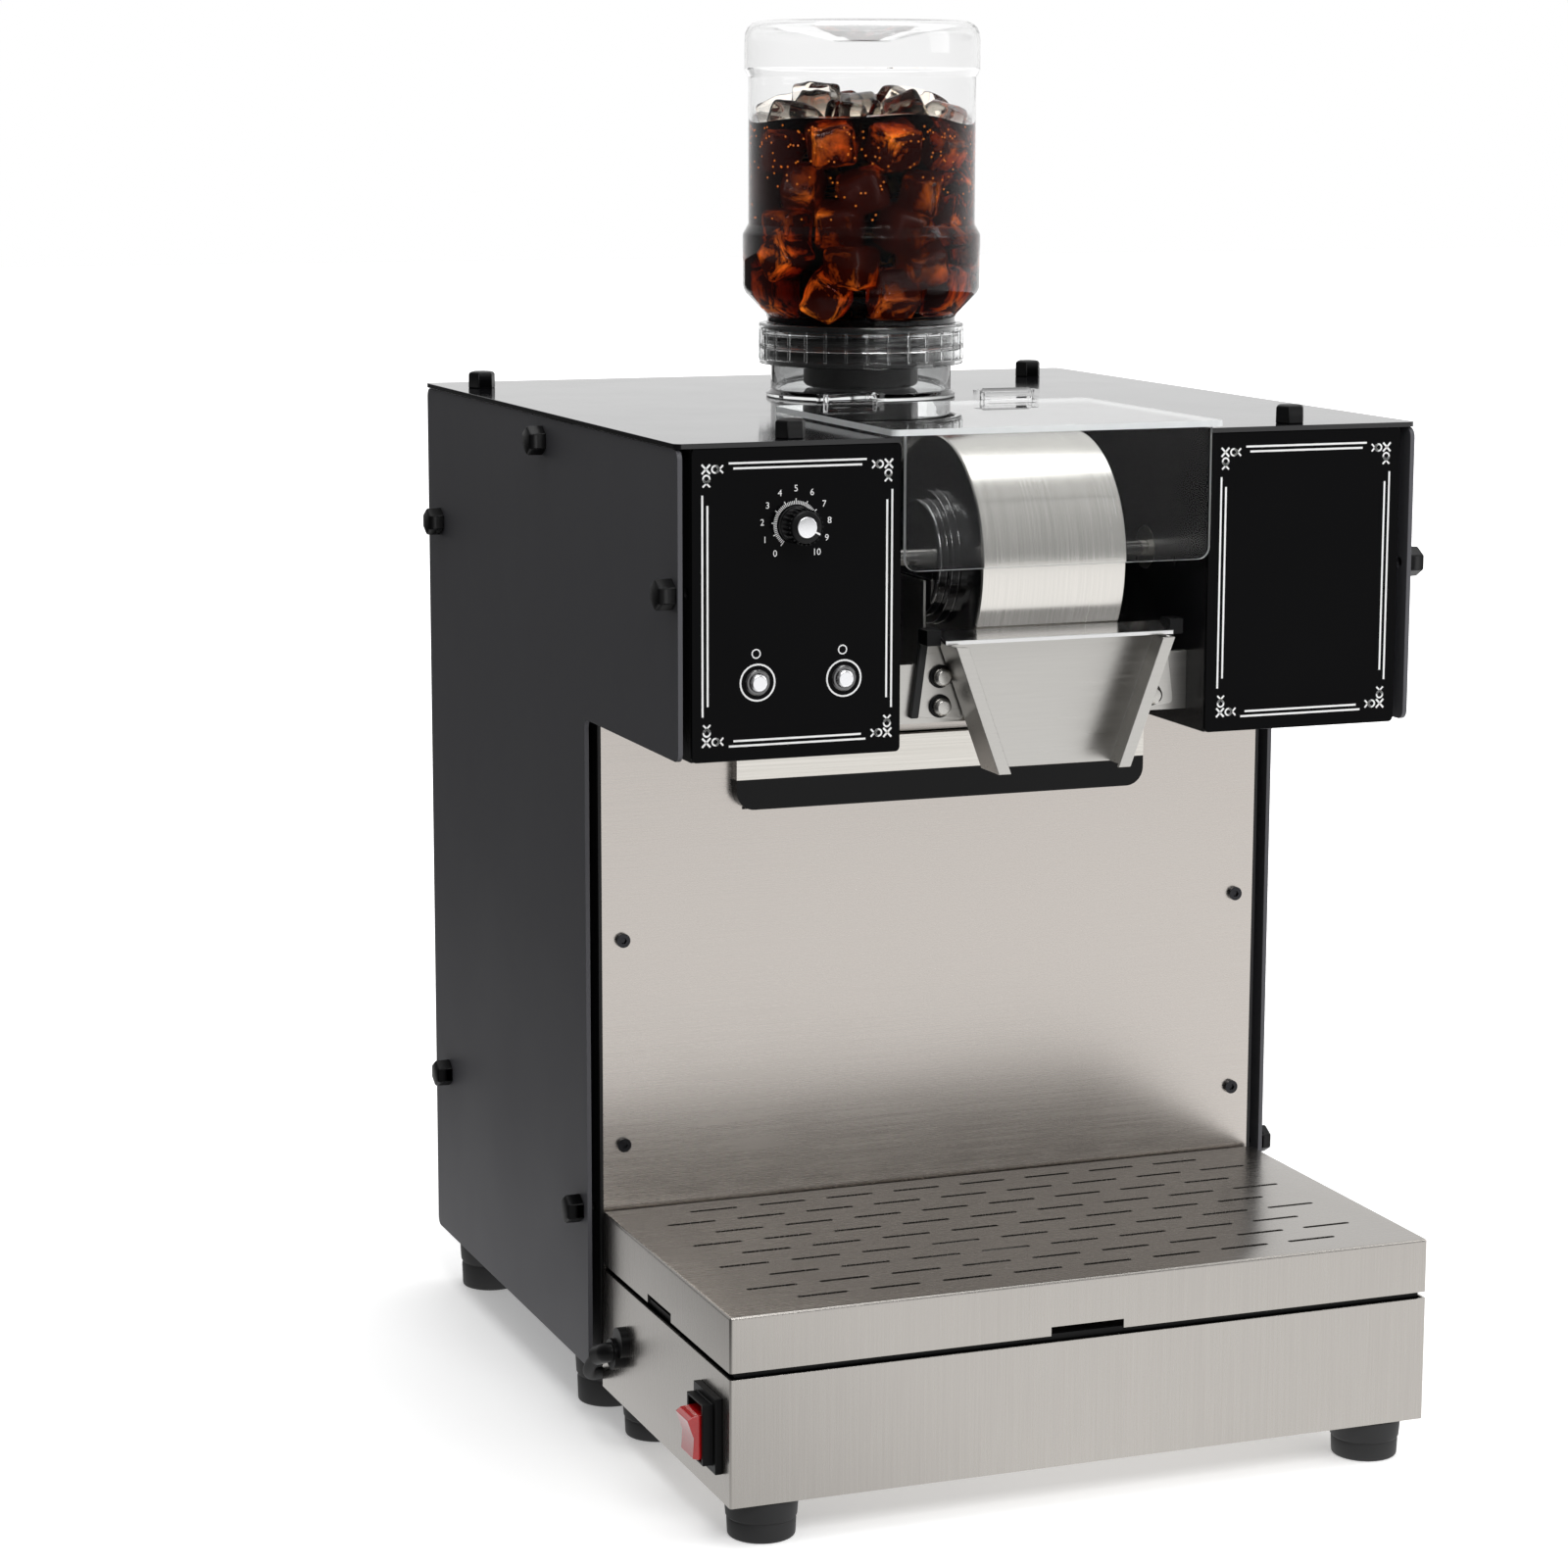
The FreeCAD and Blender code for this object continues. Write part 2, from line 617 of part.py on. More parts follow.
def link_glands():
    """The two-lobed strain relief with its bent boot, and the bush under the base pan."""
    y, z, face = depth(D.gland_y), D.gland_z, -D.base_half
    upper = rod("x", (face - 3.5, y - 3.5, z + 5), 3.5, 6.5)
    lower = rod("x", (face - 5, y + 1, z - 1), 5, 6.5)
    nut = rod("x", (face, y, z), 4, 5)
    elbow = (-160, D.gland_y + 1, D.gland_z)
    boot, _, _ = tube("boot", [(x, depth(along), height) for x, along, height in
                               ((-154, D.gland_y, D.gland_z), elbow, LEAD_ROUTE[0])], 4.2)
    bush, _, _ = tube("bush", [(x, depth(along), height) for x, along, height in (LEAD_ROUTE[-1], BUSH_END)], 4.2)
    hanger = box((-142, -138), (depth(126), depth(133)), (BUSH_END[2], D.body_low))
    return group([fuse(upper, lower, nut, boot), fuse(bush, hanger)])


def link_lead():
    """The short black lead from the base box round into the underside of the frame."""
    lead, length, bends = tube("link_lead", [(x, depth(along), height) for x, along, height in LEAD_ROUTE],
                               LEAD_RADIUS)
    ideal = math.pi * LEAD_RADIUS ** 2 * length
    print(f"link lead: {length:.1f} long, volume {lead.Shape.Volume / ideal:.4f} of section x length, "
          "bend radii " + " ".join(f"{bend:.1f}" for bend in bends))
    return lead


node("rubber_feet", feet())
node("base_box", base_box())
node("drip_pan", drip_pan())
node("drip_cover", drip_cover())
node("rocker_housing", rocker_housing())
node("rocker", rocker())
node("link_glands", link_glands())
node("link_lead", link_lead())


# ---------------------------------------------------------------- drum and its drive

DRUM_CENTRE = (0, depth(D.drum_y), D.drum_z)
PINION_DISTANCE = D.gear_module * (D.gear_teeth + D.pinion_teeth) / 2 + 0.1
GEAR_X = 84
GEAR_WIDE = 7


def drum_shell():
    """The polished tube that the drink freezes onto."""
    inner = D.drum_radius - D.drum_wall
    profile = [(D.drum_left, inner), (D.drum_right, inner), (D.drum_right, D.drum_radius - 0.6),
               (D.drum_right - 0.6, D.drum_radius), (D.drum_left + 0.6, D.drum_radius),
               (D.drum_left, D.drum_radius - 0.6)]
    return turned("drum_shell", "x", profile, DRUM_CENTRE)


def drum_end_caps():
    """The two black end caps, the left one with its stepped hub."""
    rim = D.drum_radius - D.drum_wall - 0.05
    bore = D.shaft_radius
    left = [(D.drum_left + 0.4, bore), (D.drum_left + 0.4, rim), (D.drum_left + 5, rim), (D.drum_left + 5, bore)]
    hub = [(D.hub_left, bore), (D.hub_left, D.hub_radius - 1), (D.hub_left + 1, D.hub_radius),
           (D.hub_left + 4.6, D.hub_radius), (D.hub_left + 4.6, D.hub_radius + 3.5),
           (D.drum_left + 0.4, D.hub_radius + 3.5), (D.drum_left + 0.4, bore)]
    right = [(D.drum_right - 5, bore), (D.drum_right - 5, rim), (D.drum_right - 0.4, rim),
             (D.drum_right - 0.4, bore)]
    boss = [(D.drum_right - 0.4, bore), (D.drum_right - 0.4, 12), (D.drum_right + 4, 12), (D.drum_right + 4, bore)]
    parts = [turned("cap", "x", profile, DRUM_CENTRE) for profile in (left, hub, right, boss)]
    return group([fuse(parts[0], parts[1]), fuse(parts[2], parts[3])])


def evaporator_tube():
    """The refrigerant passage inside the drum: six rings of tube against the shell."""
    rings = []
    for turn_number in range(6):
        obj = fresh("Part::Torus", "ring")
        bind(obj, Radius1=D.drum_radius - D.drum_wall - 3.1, Radius2=3)
        place(obj, (D.drum_left + 11 + 8 * turn_number, depth(D.drum_y), D.drum_z), AXIS_TURN["x"])
        rings.append(obj)
    link = box((D.drum_left + 11, D.drum_left + 51), (depth(D.drum_y - 1.5), depth(D.drum_y + 1.5)),
               (D.drum_z + D.drum_radius - 8.5, D.drum_z + D.drum_radius - 5))
    return fuse(*rings, link)


def drum_shaft():
    left, right = -100, 96
    return rod("x", (left, depth(D.drum_y), D.drum_z), right - left, D.shaft_radius)


def gear(stem, teeth, start, end, centre, bore, phase):
    """A spur gear: one straight-flanked tooth on a root disc, repeated round the axis."""
    module = D.gear_module.value
    count = teeth.value
    root, tip = module * (count - 2.6) / 2, module * (count + 1.8) / 2
    half_root, half_tip = 0.98 * module, 0.34 * module
    body = Sketched(stem)
    body.turn("x", [(start, bore), (start, root), (end, root), (end, bore)])
    body.pad("yz", [(root - 0.6, -half_root), (tip, -half_tip), (tip, half_tip), (root - 0.6, half_root)],
             start, end)
    pattern = body.body.newObject("PartDesign::PolarPattern", "teeth_")
    pattern.Originals = [body.body.Tip]
    pattern.Axis = ([f for f in body.body.Origin.OriginFeatures if f.Role == "X_Axis"][0], [""])
    pattern.Angle = 360
    pattern.setExpression("Occurrences", teeth.text)
    body.body.Tip = pattern
    doc.recompute()
    body.body.Placement = FreeCAD.Placement(FreeCAD.Vector(), FreeCAD.Rotation(FreeCAD.Vector(1, 0, 0), phase))
    return place(body.body, centre)


def drum_bearings():
    """A bush in each wall of the bay, flush inside the bay and flanged on the box side."""
    bushes = []
    for side in SIDES:
        bore = D.shaft_radius + RUNNING_GAP
        sleeve = [(0, bore), (0, 8.95), (D.sheet, 8.95), (D.sheet, 14), (D.sheet + 2.5, 14),
                  (D.sheet + 2.5, 9), (D.sheet + 7, 9), (D.sheet + 7, bore)]
        profile = [(as_size(along) * side, radius) for along, radius in sleeve]
        bushes.append(turned("bush", "x", profile, (D.bay_half * side, depth(D.drum_y), D.drum_z)))
    return group(bushes)


def rotary_union():
    """The brass union that feeds refrigerant into the turning shaft."""
    profile = [(-100, D.shaft_radius + RUNNING_GAP), (-100, 9), (-96, 9), (-96, 11), (-84, 11), (-84, 9),
               (-80, 9), (-80, D.shaft_radius + RUNNING_GAP)]
    barrel = turned("union", "x", profile, (0, depth(D.drum_y), D.drum_z))
    ports = [rod("y", (x, depth(D.drum_y + 10), D.drum_z), 8, 4.5) for x in (-94.2, -86)]
    return fuse(barrel, *ports)


PINION_CENTRE = (0, depth(D.drum_y + PINION_DISTANCE), D.drum_z)


def motor_pinion():
    """The pinion on the gear motor's output shaft, in mesh behind the drum's gear."""
    half_tooth = 180 / D.pinion_teeth.value
    teeth = gear("pinion", D.pinion_teeth, GEAR_X, GEAR_X + GEAR_WIDE, PINION_CENTRE, 0, half_tooth)
    spindle = rod("x", (GEAR_X - 4, depth(D.drum_y + PINION_DISTANCE), D.drum_z), GEAR_WIDE + 18, 3)
    return fuse(teeth, spindle)


def gear_motor():
    """The drum's gear motor: a gearbox with a bored face, and the motor can behind it."""
    y, z = depth(D.drum_y + PINION_DISTANCE), D.drum_z
    gearbox = box((94, 116), (y - 22, y + 22), (z - 24, z + 24))
    can = rod("x", (116, y, z), 34, 19)
    foot = box((100, 112), (y - 22, y + 22), (D.head_low + D.sheet, z - 24))
    return cut(fuse(gearbox, can, foot), rod("x", (93, y, z), 12, 3 + RUNNING_GAP))


def freezing_trough():
    """The curved trough under the rear of the drum that keeps its skin wet with drink."""
    y, z = depth(D.drum_y), D.drum_z
    left, right = -39, 46
    outer = rod("x", (left, y, z), right - left, 54.8)
    hollow = rod("x", (left + 1.2, y, z), right - left - 2.4, 53.3)
    quarter = box((left - 1, right + 1), (y - 15, y + 56), (z - 56, z - 8))
    return common(cut(outer, hollow), quarter)


node("drum_shell", drum_shell())
node("drum_end_caps", drum_end_caps())
node("evaporator_tube", evaporator_tube())
node("drum_shaft", drum_shaft())
node("drum_gear", gear("drum_gear", D.gear_teeth, GEAR_X, GEAR_X + GEAR_WIDE, DRUM_CENTRE, D.shaft_radius, 0))
node("drum_bearings", drum_bearings())
node("rotary_union", rotary_union())
node("motor_pinion", motor_pinion())
node("gear_motor", gear_motor())
node("freezing_trough", freezing_trough())


# ---------------------------------------------------------------- scraper and chute

EAR_FRONT = 15.5
BOLT_X = 46.7
BOLT_HEIGHTS = (332, 320)


def scraper_beam():
    """The cross bar from wall to wall that carries the ears, the chute and the blade."""
    half = D.bay_half
    bar = box((-half, half), (depth(17.5), depth(20.5)), (313, 337))
    holes = [rod("y", (D.scraper_x + side * BOLT_X, depth(16), z), 6, 1.7) for side in SIDES
             for z in BOLT_HEIGHTS]
    return cut(bar, *holes)


def scraper_ears():
    """A trapezium plate on each side of the chute, with two adjustment slots for its bolts."""
    ears = []
    for side in SIDES:
        edge = [(57.5, 316), (36, 314), (41.5, D.chute_top - 0.5), (53.5, D.chute_top - 0.5)]
        outline = [(D.scraper_x + side * x, z) for x, z in edge]
        plate = Sketched("ear").pad("xz", outline, depth(EAR_FRONT), depth(EAR_FRONT + 2))
        plate.fillet(1.5, is_along("y"))
        x = D.scraper_x + side * BOLT_X
        slots = [box((x - 4.2, x + 4.2), (depth(EAR_FRONT - 1), depth(EAR_FRONT + 3)), (z - 1.9, z + 1.9))
                 for z in BOLT_HEIGHTS]
        ears.append(cut(plate.body, *slots))
    return group(ears)


def ear_bolt(side, z):
    """A round-headed bolt and its dark washer through an ear's slot into the beam."""
    x = D.scraper_x + side * BOLT_X
    washer = ring("y", (x, depth(EAR_FRONT - 1), z), 1, 4.6, 1.4)
    head = rod("y", (x, depth(EAR_FRONT - 5), z), 4, 3.3)
    shank = rod("y", (x, depth(EAR_FRONT - 2), z), 9, 1.5)
    return fuse(washer, head, shank)


def scraper_blade():
    """The blade: its lip stands just off the drum, 30 degrees below its front."""
    edge = [(depth(2), 346.2), (depth(14), 348.7), (depth(14.5), 350.4), (depth(2), 347.9)]
    return Sketched("blade").pad("yz", edge, D.scraper_x - 50, D.scraper_x + 50).body


def blade_guides():
    """The two black end blocks that keep the blade square to the drum."""
    blocks = []
    for side in SIDES:
        centre = D.scraper_x + side * 53.3
        blocks.append(box((centre - 3.2, centre + 3.2), (depth(6), depth(15)), (345.6, 352)))
    return group(blocks)


def chute():
    """The folded chute: a back plate and two flaps with returned front lips, narrowing downwards."""
    front, rear, sheet = depth(-4), depth(14), 1.5
    top, low = D.chute_top, D.chute_low

    def edge(side, inset_top, inset_low):
        return ((D.scraper_x + side * (D.chute_half_top - inset_top), top),
                (D.scraper_x + side * (D.chute_half_low - inset_low), low))

    left_top, left_low = edge(-1, 0, 0)
    right_top, right_low = edge(1, 0, 0)
    body = Sketched("chute").pad("xz", [left_low, right_low, right_top, left_top], rear - sheet, rear)
    for side in SIDES:
        outer_top, outer_low = edge(side, 0, 0)
        skin_top, skin_low = edge(side, sheet, sheet)
        lip_top, lip_low = edge(side, 5.5, 5.5)
        body.pad("xz", [outer_low, skin_low, skin_top, outer_top], front, rear - sheet)
        body.pad("xz", [outer_low, lip_low, lip_top, outer_top], front, front + sheet)
    return body.body


node("scraper_beam", scraper_beam())
node("scraper_ears", scraper_ears())
node("ear_bolts", group([ear_bolt(side, z) for side in SIDES for z in BOLT_HEIGHTS]))
node("scraper_blade", scraper_blade())
node("blade_guides", blade_guides())
node("chute", chute())


# ---------------------------------------------------------------- overflow tray

def overflow_tray():
    """The slide-out tray behind the back plate, with its bright face and black finger lip."""
    front = depth(D.column_front - 6)
    face = Sketched("tray_face").pad("xz", rectangle((-94.5, 94.5), (277, 292.5)), front, depth(D.column_front - 0.3))
    lip = Sketched("tray_lip").pad("xz", rectangle((-94.5, 94.5), (264, 277)), front, depth(D.column_front - 0.3))
    lip.fillet(8, lambda edge: is_along("y")(edge) and edge.CenterOfMass.z < 270)
    bin_outer = box((-88, 88), (depth(D.column_front - 0.3), depth(270)), (264.1, 291))
    bin_inner = box((-86.5, 86.5), (depth(D.column_front + 1), depth(268.5)), (265.6, 292))
    return fuse(face.body, lip.body, cut(bin_outer, bin_inner))


def tray_runners():
    """The two angles that the tray slides on, fixed to the rear of the back plate."""
    runners = []
    for side in SIDES:
        profile = [(84, 262.4), (104, 262.4), (104, 275), (102.5, 275), (102.5, 263.8), (84, 263.8)]
        runner = Sketched("runner").pad("xz", [(x * side, z) for x, z in profile],
                                        depth(D.column_front + 1.5), depth(272))
        runners.append(runner.body)
    return group(runners)


node("overflow_tray", overflow_tray())
node("tray_runners", tray_runners())


# ---------------------------------------------------------------- controls

def control_board():
    """The drive board behind the left panel, with the dial's potentiometer on its front."""
    x, z = D.dial_x, D.dial_z
    can = rod("y", (x, depth(1.6), z), 14, 8.5)
    legs = box((x - 5, x + 5), (depth(12), depth(22.5)), (z - 7, z + 7))
    board = box((-148, -76), (depth(22), depth(23.6)), (352, 414))
    relay = box((-144, -128), (depth(23.6), depth(40)), (356, 380))
    capacitors = [rod("y", (x_place, depth(23.6), 366), 20, 7) for x_place in (-112, -94)]
    spacers = [box((x_place - 3, x_place + 3), (depth(1.5), depth(22)), (354, 360)) for x_place in (-145, -79)]
    return cut(fuse(can, legs, board, relay, *capacitors, *spacers), rod("y", (x, depth(1), z), 10, 3.05))


def dial_knob():
    """The round knob with a skirt, its bright cap's rim and its spindle."""
    skirt = [(-12.4, 0), (-12.4, 3.6), (-11.8, 4.2), (-11.6, 6.2), (-2.8, 7.4), (-2.3, 8.2), (-0.3, 8.4),
             (-0.3, 0)]
    grip = turned("grip", "y", skirt, (D.dial_x, depth(0), D.dial_z))
    spindle = rod("y", (D.dial_x, depth(-1), D.dial_z), 10, 3)
    return fuse(grip, spindle)


def button_switch(x):
    """A push-button switch: its bright bezel in the panel and its barrel behind it."""
    bezel = [(-0.9, 3.65), (-0.9, 4.6), (-0.3, 5.2), (0, 5.2), (0, 4.8), (1.55, 4.8), (1.55, 7), (20, 7), (20, 0),
             (8, 0), (8, 3.65)]
    return turned("switch", "y", bezel, (x, depth(0), D.button_z))


def button_cap(x):
    cap = [(-2.6, 0), (-2.6, 2.9), (-2, 3.55), (4, 3.55), (4, 0)]
    return turned("button", "y", cap, (x, depth(0), D.button_z))


node("control_board", control_board())
node("dial_knob", dial_knob())
node("button_switches", group([button_switch(x) for x in (D.button_left, D.button_right)]))
node("left_button", button_cap(D.button_left))
node("right_button", button_cap(D.button_right))


# ---------------------------------------------------------------- bottle, its seat and the guard

BOTTLE_FOOT = (0, depth(D.bottle_y), 0)


def bottle():
    """The inverted bottle: a dimpled base on top, a ribbed waist and a wide neck."""
    wall = D.bottle_wall
    body_radius, neck = D.bottle_radius, D.neck_radius
    outer = [(446, neck), (466, neck), (474, body_radius + 2.5), (501, body_radius + 2.5), (505, body_radius),
             (569, body_radius), (572, body_radius + 1.7), (588, body_radius + 1.7), (D.bottle_top, body_radius - 4)]
    dimple = [(D.bottle_top, 34), (587, 12), (585.5, 0)]
    roof = [(585.5 - wall, 0), (587 - wall, 12), (D.bottle_top - wall, 34), (D.bottle_top - wall, body_radius - 5),
            (588, body_radius + 1.7 - wall)]
    inner = [(z, radius - wall) for z, radius in reversed(outer[2:8])]
    floor = [(466, neck - wall), (446, neck - wall)]
    return turned("bottle", "z", outer + dimple + roof + inner[1:] + floor, BOTTLE_FOOT)


def drink():
    """The drink that fills the bottle to a little below its shoulder band."""
    inset = D.bottle_wall + 0.1
    profile = [(454.2, 0), (454.2, D.neck_radius - inset), (466, D.neck_radius - inset),
               (474, D.bottle_radius + 2.5 - inset), (501, D.bottle_radius + 2.5 - inset),
               (505, D.bottle_radius - inset), (552, D.bottle_radius - inset), (552, 0)]
    return turned("drink", "z", profile, BOTTLE_FOOT)


def bottle_cap():
    """The black valve cap in the bottle's neck, whose spout hangs inside the clear seat."""
    profile = [(433, 0), (433, 25.6), (444, 25.6), (444, 41.8), (446, 41.8), (446, 40.2), (454, 40.2), (454, 0)]
    return turned("bottle_cap", "z", profile, BOTTLE_FOOT)


def bottle_collar():
    """The ribbed clear ring that screws onto the bottle's neck."""
    low, high = 444, D.cup_top + 1.8
    profile = [(low, 42.2), (low, 45.6), (low + 2, 45.6), (low + 2, 44.4), (low + 6, 44.4), (low + 6, 45.6),
               (low + 8, 45.6), (low + 8, 44.4), (high - 3, 44.4), (high - 3, 45.6), (high, 45.6), (high, 42.2)]
    return turned("collar", "z", profile, BOTTLE_FOOT)


def bottle_seat():
    """The clear cup on the top plate that the bottle stands in, with its feed spigot."""
    low = D.cup_low
    profile = [(low, 3.2), (low, 42), (low + 1.6, 42), (low + 3, 40), (443.7, 40), (443.7, 38.2), (low + 3, 38.2),
               (low + 2.2, 37.4), (low + 2.2, 3.2)]
    cup = turned("seat", "z", profile, BOTTLE_FOOT)
    spigot = ring("z", (0, depth(D.bottle_y), D.top_low - 12), 14.5, 6, 3.2)
    return fuse(cup, spigot)


def feed_tube():
    """The silicone tube from the seat's spigot to the freezing trough."""
    route = ((D.bottle_y, 415.2), (D.bottle_y, 405), (203, 396.5), (185, 394.5), (160, 400), (138, 409),
             (124, 413.8), (114.5, 414))
    points = [(0, depth(along), height) for along, height in route]
    feed, _, _ = tube("feed_tube", points, 4)
    return feed


HINGE_X = 36
HINGE_LONG = 22
HINGE_Z = 434


def guard():
    """The bent acrylic guard: a front sheet, a top sheet and the two knuckles on its rear edge."""
    thick = D.guard_thick
    top_high = 432.5
    front = Sketched("guard_front").pad("xz", rectangle((-66.3, 66.3), (D.guard_low, top_high)),
                                        depth(-3), depth(-3 + thick))
    front.fillet(5, lambda edge: is_along("y")(edge) and edge.CenterOfMass.z < 380)
    sheet = box((-72, 72), (depth(-3), depth(128)), (top_high - thick, top_high))
    knuckles = [ring("x", (x - HINGE_LONG / 2, depth(D.hinge_y), HINGE_Z), HINGE_LONG, 3.2, 1.55)
                for x in (-HINGE_X, HINGE_X)]
    webs = [box((x - HINGE_LONG / 2, x + HINGE_LONG / 2), (depth(126), depth(D.hinge_y - 2.2)), (431, 434))
            for x in (-HINGE_X, HINGE_X)]
    return fuse(front.body, sheet, *webs, *knuckles)


def guard_hinges():
    """Two pins, each held at both ends by a block on the top plate."""
    parts = []
    foot = D.top_low + D.panel_thick
    for x in (-HINGE_X, HINGE_X):
        reach = HINGE_LONG / 2 + 0.3
        pin = rod("x", (x - reach - 3, depth(D.hinge_y), HINGE_Z), 2 * reach + 6, 1.5)
        blocks = [box((x + end * (reach + 1.5) - 1.5, x + end * (reach + 1.5) + 1.5),
                      (depth(D.hinge_y - 2.8), depth(D.hinge_y + 2.8)), (foot, HINGE_Z + 2.4)) for end in SIDES]
        parts.append(fuse(pin, *blocks))
    return group(parts)


node("bottle", bottle())
node("drink", drink())
node("bottle_cap", bottle_cap())
node("bottle_collar", bottle_collar())
node("bottle_seat", bottle_seat())
node("feed_tube", feed_tube())
node("guard", guard())
node("guard_hinges", guard_hinges())


# ---------------------------------------------------------------- condensing unit and electrics

COMPRESSOR = (-80, 225)
LINE_STUBS = (-20, 10)


def compressor():
    """The sealed compressor: a domed can on a bolted foot plate."""
    x, y = COMPRESSOR
    radius = D.compressor_radius
    can = [(36, 0), (36, radius - 8), (44, radius), (120, radius), (136, radius - 14), (142, 0)]
    dome = turned("compressor", "z", can, (x, depth(y), 0))
    plate = box((x - 56, x + 56), (depth(y - 60), depth(y + 60)), (33, 36))
    mounts = [rod("z", (x + side * 44, depth(y + end * 48), D.body_low + 2), 5, 8)
              for side in SIDES for end in SIDES]
    stubs = [rod("z", (x + across, depth(y + 20), 120), 26, 4.5) for across in LINE_STUBS]
    return fuse(dome, plate, *mounts, *stubs)


def condenser():
    """The condenser: a finned core between two side plates."""
    x, z = D.fan_x, D.fan_z
    fins = [box((x - 74 + 6 * index, x - 73 + 6 * index), (depth(312), depth(336)), (z - 66, z + 66))
            for index in range(25)]
    tubes = [rod("x", (x - 76, depth(y), z - 60 + 24 * row), 152, 3) for row in range(6) for y in (318, 330)]
    ends = [box((x + side * 76 - 1, x + side * 76 + 1), (depth(310), depth(338)), (D.body_low + 2, z + 70))
            for side in SIDES]
    return fuse(*fins, *tubes, *ends)


def fan_shroud():
    """The square shroud that stands on the base pan and carries the fan motor's arms."""
    x, y, z = D.fan_x, depth(D.fan_y), D.fan_z
    plate = box((x - 70, x + 70), (y - 8, y + 12), (D.body_low + 2, z + 66))
    mouth = rod("y", (x, y - 9, z), 22, D.fan_radius + 3)
    arms = [box((x - 60, x + 60), (y - 14, y - 10), (z - 4, z + 4))]
    posts = [box((x + side * 61 - 3, x + side * 61 + 3), (y - 14, y - 8), (z - 6, z + 6)) for side in SIDES]
    motor = rod("y", (x, y - 38, z), 28, 22)
    bore = rod("y", (x, y - 20, z), 12, 3 + RUNNING_GAP)
    return cut(fuse(cut(plate, mouth), *arms, *posts, motor), bore)


def fan_blades():
    """The five-bladed fan on its spindle."""
    x, y, z = D.fan_x, depth(D.fan_y), D.fan_z
    hub = rod("y", (x, y - 8, z), 16, 14)
    spindle = rod("y", (x, y - 18, z), 12, 3)
    blades = []
    for number in range(5):
        blade = fresh("Part::Box", "blade")
        bind(blade, Length=D.fan_radius - 12, Width=2, Height=26)
        twist = FreeCAD.Rotation(FreeCAD.Vector(1, 0, 0), 35)
        spread = FreeCAD.Rotation(FreeCAD.Vector(0, 1, 0), 72 * number)
        start = spread.multVec(FreeCAD.Vector(12, 0, 0) + twist.multVec(FreeCAD.Vector(0, -1, -13)))
        place(blade, (x + start.x, y + start.y, z + start.z), spread * twist)
        blades.append(blade)
    rim = rod("y", (x, y - 8, z), 16, D.fan_radius)
    return fuse(hub, spindle, common(fuse(*blades), rim))


def refrigerant_lines():
    """The suction and liquid tubes from the condensing unit up to the rotary union."""
    x, y = COMPRESSOR
    union_y = D.drum_y + 18
    suction = [(x - 20, depth(y + 20), 146), (x - 20, depth(y + 20), 190), (-128, depth(200), 240),
               (-128, depth(150), 330), (-94.2, depth(120), 375), (-94.2, depth(union_y), 375)]
    liquid = [(x + 10, depth(y + 20), 146), (x + 10, depth(y + 20), 170), (-115, depth(240), 200),
              (-115, depth(175), 330), (-86, depth(130), 375), (-86, depth(union_y), 375)]
    return group([tube("suction", suction, 3.5)[0], tube("liquid", liquid, 2.2)[0]])


node("compressor", compressor())
node("condenser", condenser())
node("fan_shroud", fan_shroud())
node("fan_blades", fan_blades())
node("refrigerant_lines", refrigerant_lines())


# ---------------------------------------------------------------- checks and export

def report_failures():
    doc.recompute()
    for obj in doc.Objects:
        if "Invalid" in obj.State or "Error" in obj.State:
            raise RuntimeError(f"{obj.Name} ({obj.Label}) failed: {obj.State}")
    for obj in NODES:
        if obj.Shape.isNull() or not obj.Shape.isValid():
            raise RuntimeError(f"{obj.Label} has no valid shape")
        if not obj.Shape.Solids:
            raise RuntimeError(f"{obj.Label} holds no solid")


def export_parts():
    os.makedirs("parts", exist_ok=True)
    for obj in NODES:
        obj.Shape.exportStep(f"parts/{obj.Label}.step")
    whole = Part.makeCompound([obj.Shape for obj in NODES]).BoundBox
    print(f"{len(NODES)} parts, box {whole.XMin:.2f} {whole.XMax:.2f} {whole.YMin:.2f} {whole.YMax:.2f} "
          f"{whole.ZMin:.2f} {whole.ZMax:.2f}")


report_failures()
export_parts()
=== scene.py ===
import json
import math
import random
import bmesh
import bpy
from mathutils import Matrix, Vector


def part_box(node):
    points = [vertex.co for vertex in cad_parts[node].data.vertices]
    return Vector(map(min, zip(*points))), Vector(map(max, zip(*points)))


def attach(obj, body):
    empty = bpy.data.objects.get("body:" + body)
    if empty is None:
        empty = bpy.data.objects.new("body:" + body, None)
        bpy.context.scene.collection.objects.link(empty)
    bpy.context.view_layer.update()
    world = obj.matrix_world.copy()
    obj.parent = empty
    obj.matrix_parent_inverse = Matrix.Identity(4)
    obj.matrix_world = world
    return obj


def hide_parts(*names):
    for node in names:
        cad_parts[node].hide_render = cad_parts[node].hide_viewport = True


# Looks of a countertop shaved ice machine. Lengths here are millimetres and turn into metres
# where a mesh is made. Depths run back from the front faces of the two head boxes.
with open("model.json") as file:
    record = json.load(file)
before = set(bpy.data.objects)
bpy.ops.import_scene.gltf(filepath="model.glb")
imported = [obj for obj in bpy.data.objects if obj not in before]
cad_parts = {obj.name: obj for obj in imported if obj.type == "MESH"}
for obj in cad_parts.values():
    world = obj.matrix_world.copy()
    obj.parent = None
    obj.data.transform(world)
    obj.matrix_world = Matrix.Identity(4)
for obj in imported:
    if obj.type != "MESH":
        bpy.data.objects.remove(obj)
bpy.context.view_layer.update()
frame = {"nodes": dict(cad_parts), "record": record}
NODES = frame["nodes"]
RECORD = frame["record"]
SLOT_OF = {part["node"]: part["material_slot"] for part in RECORD["subparts"]}
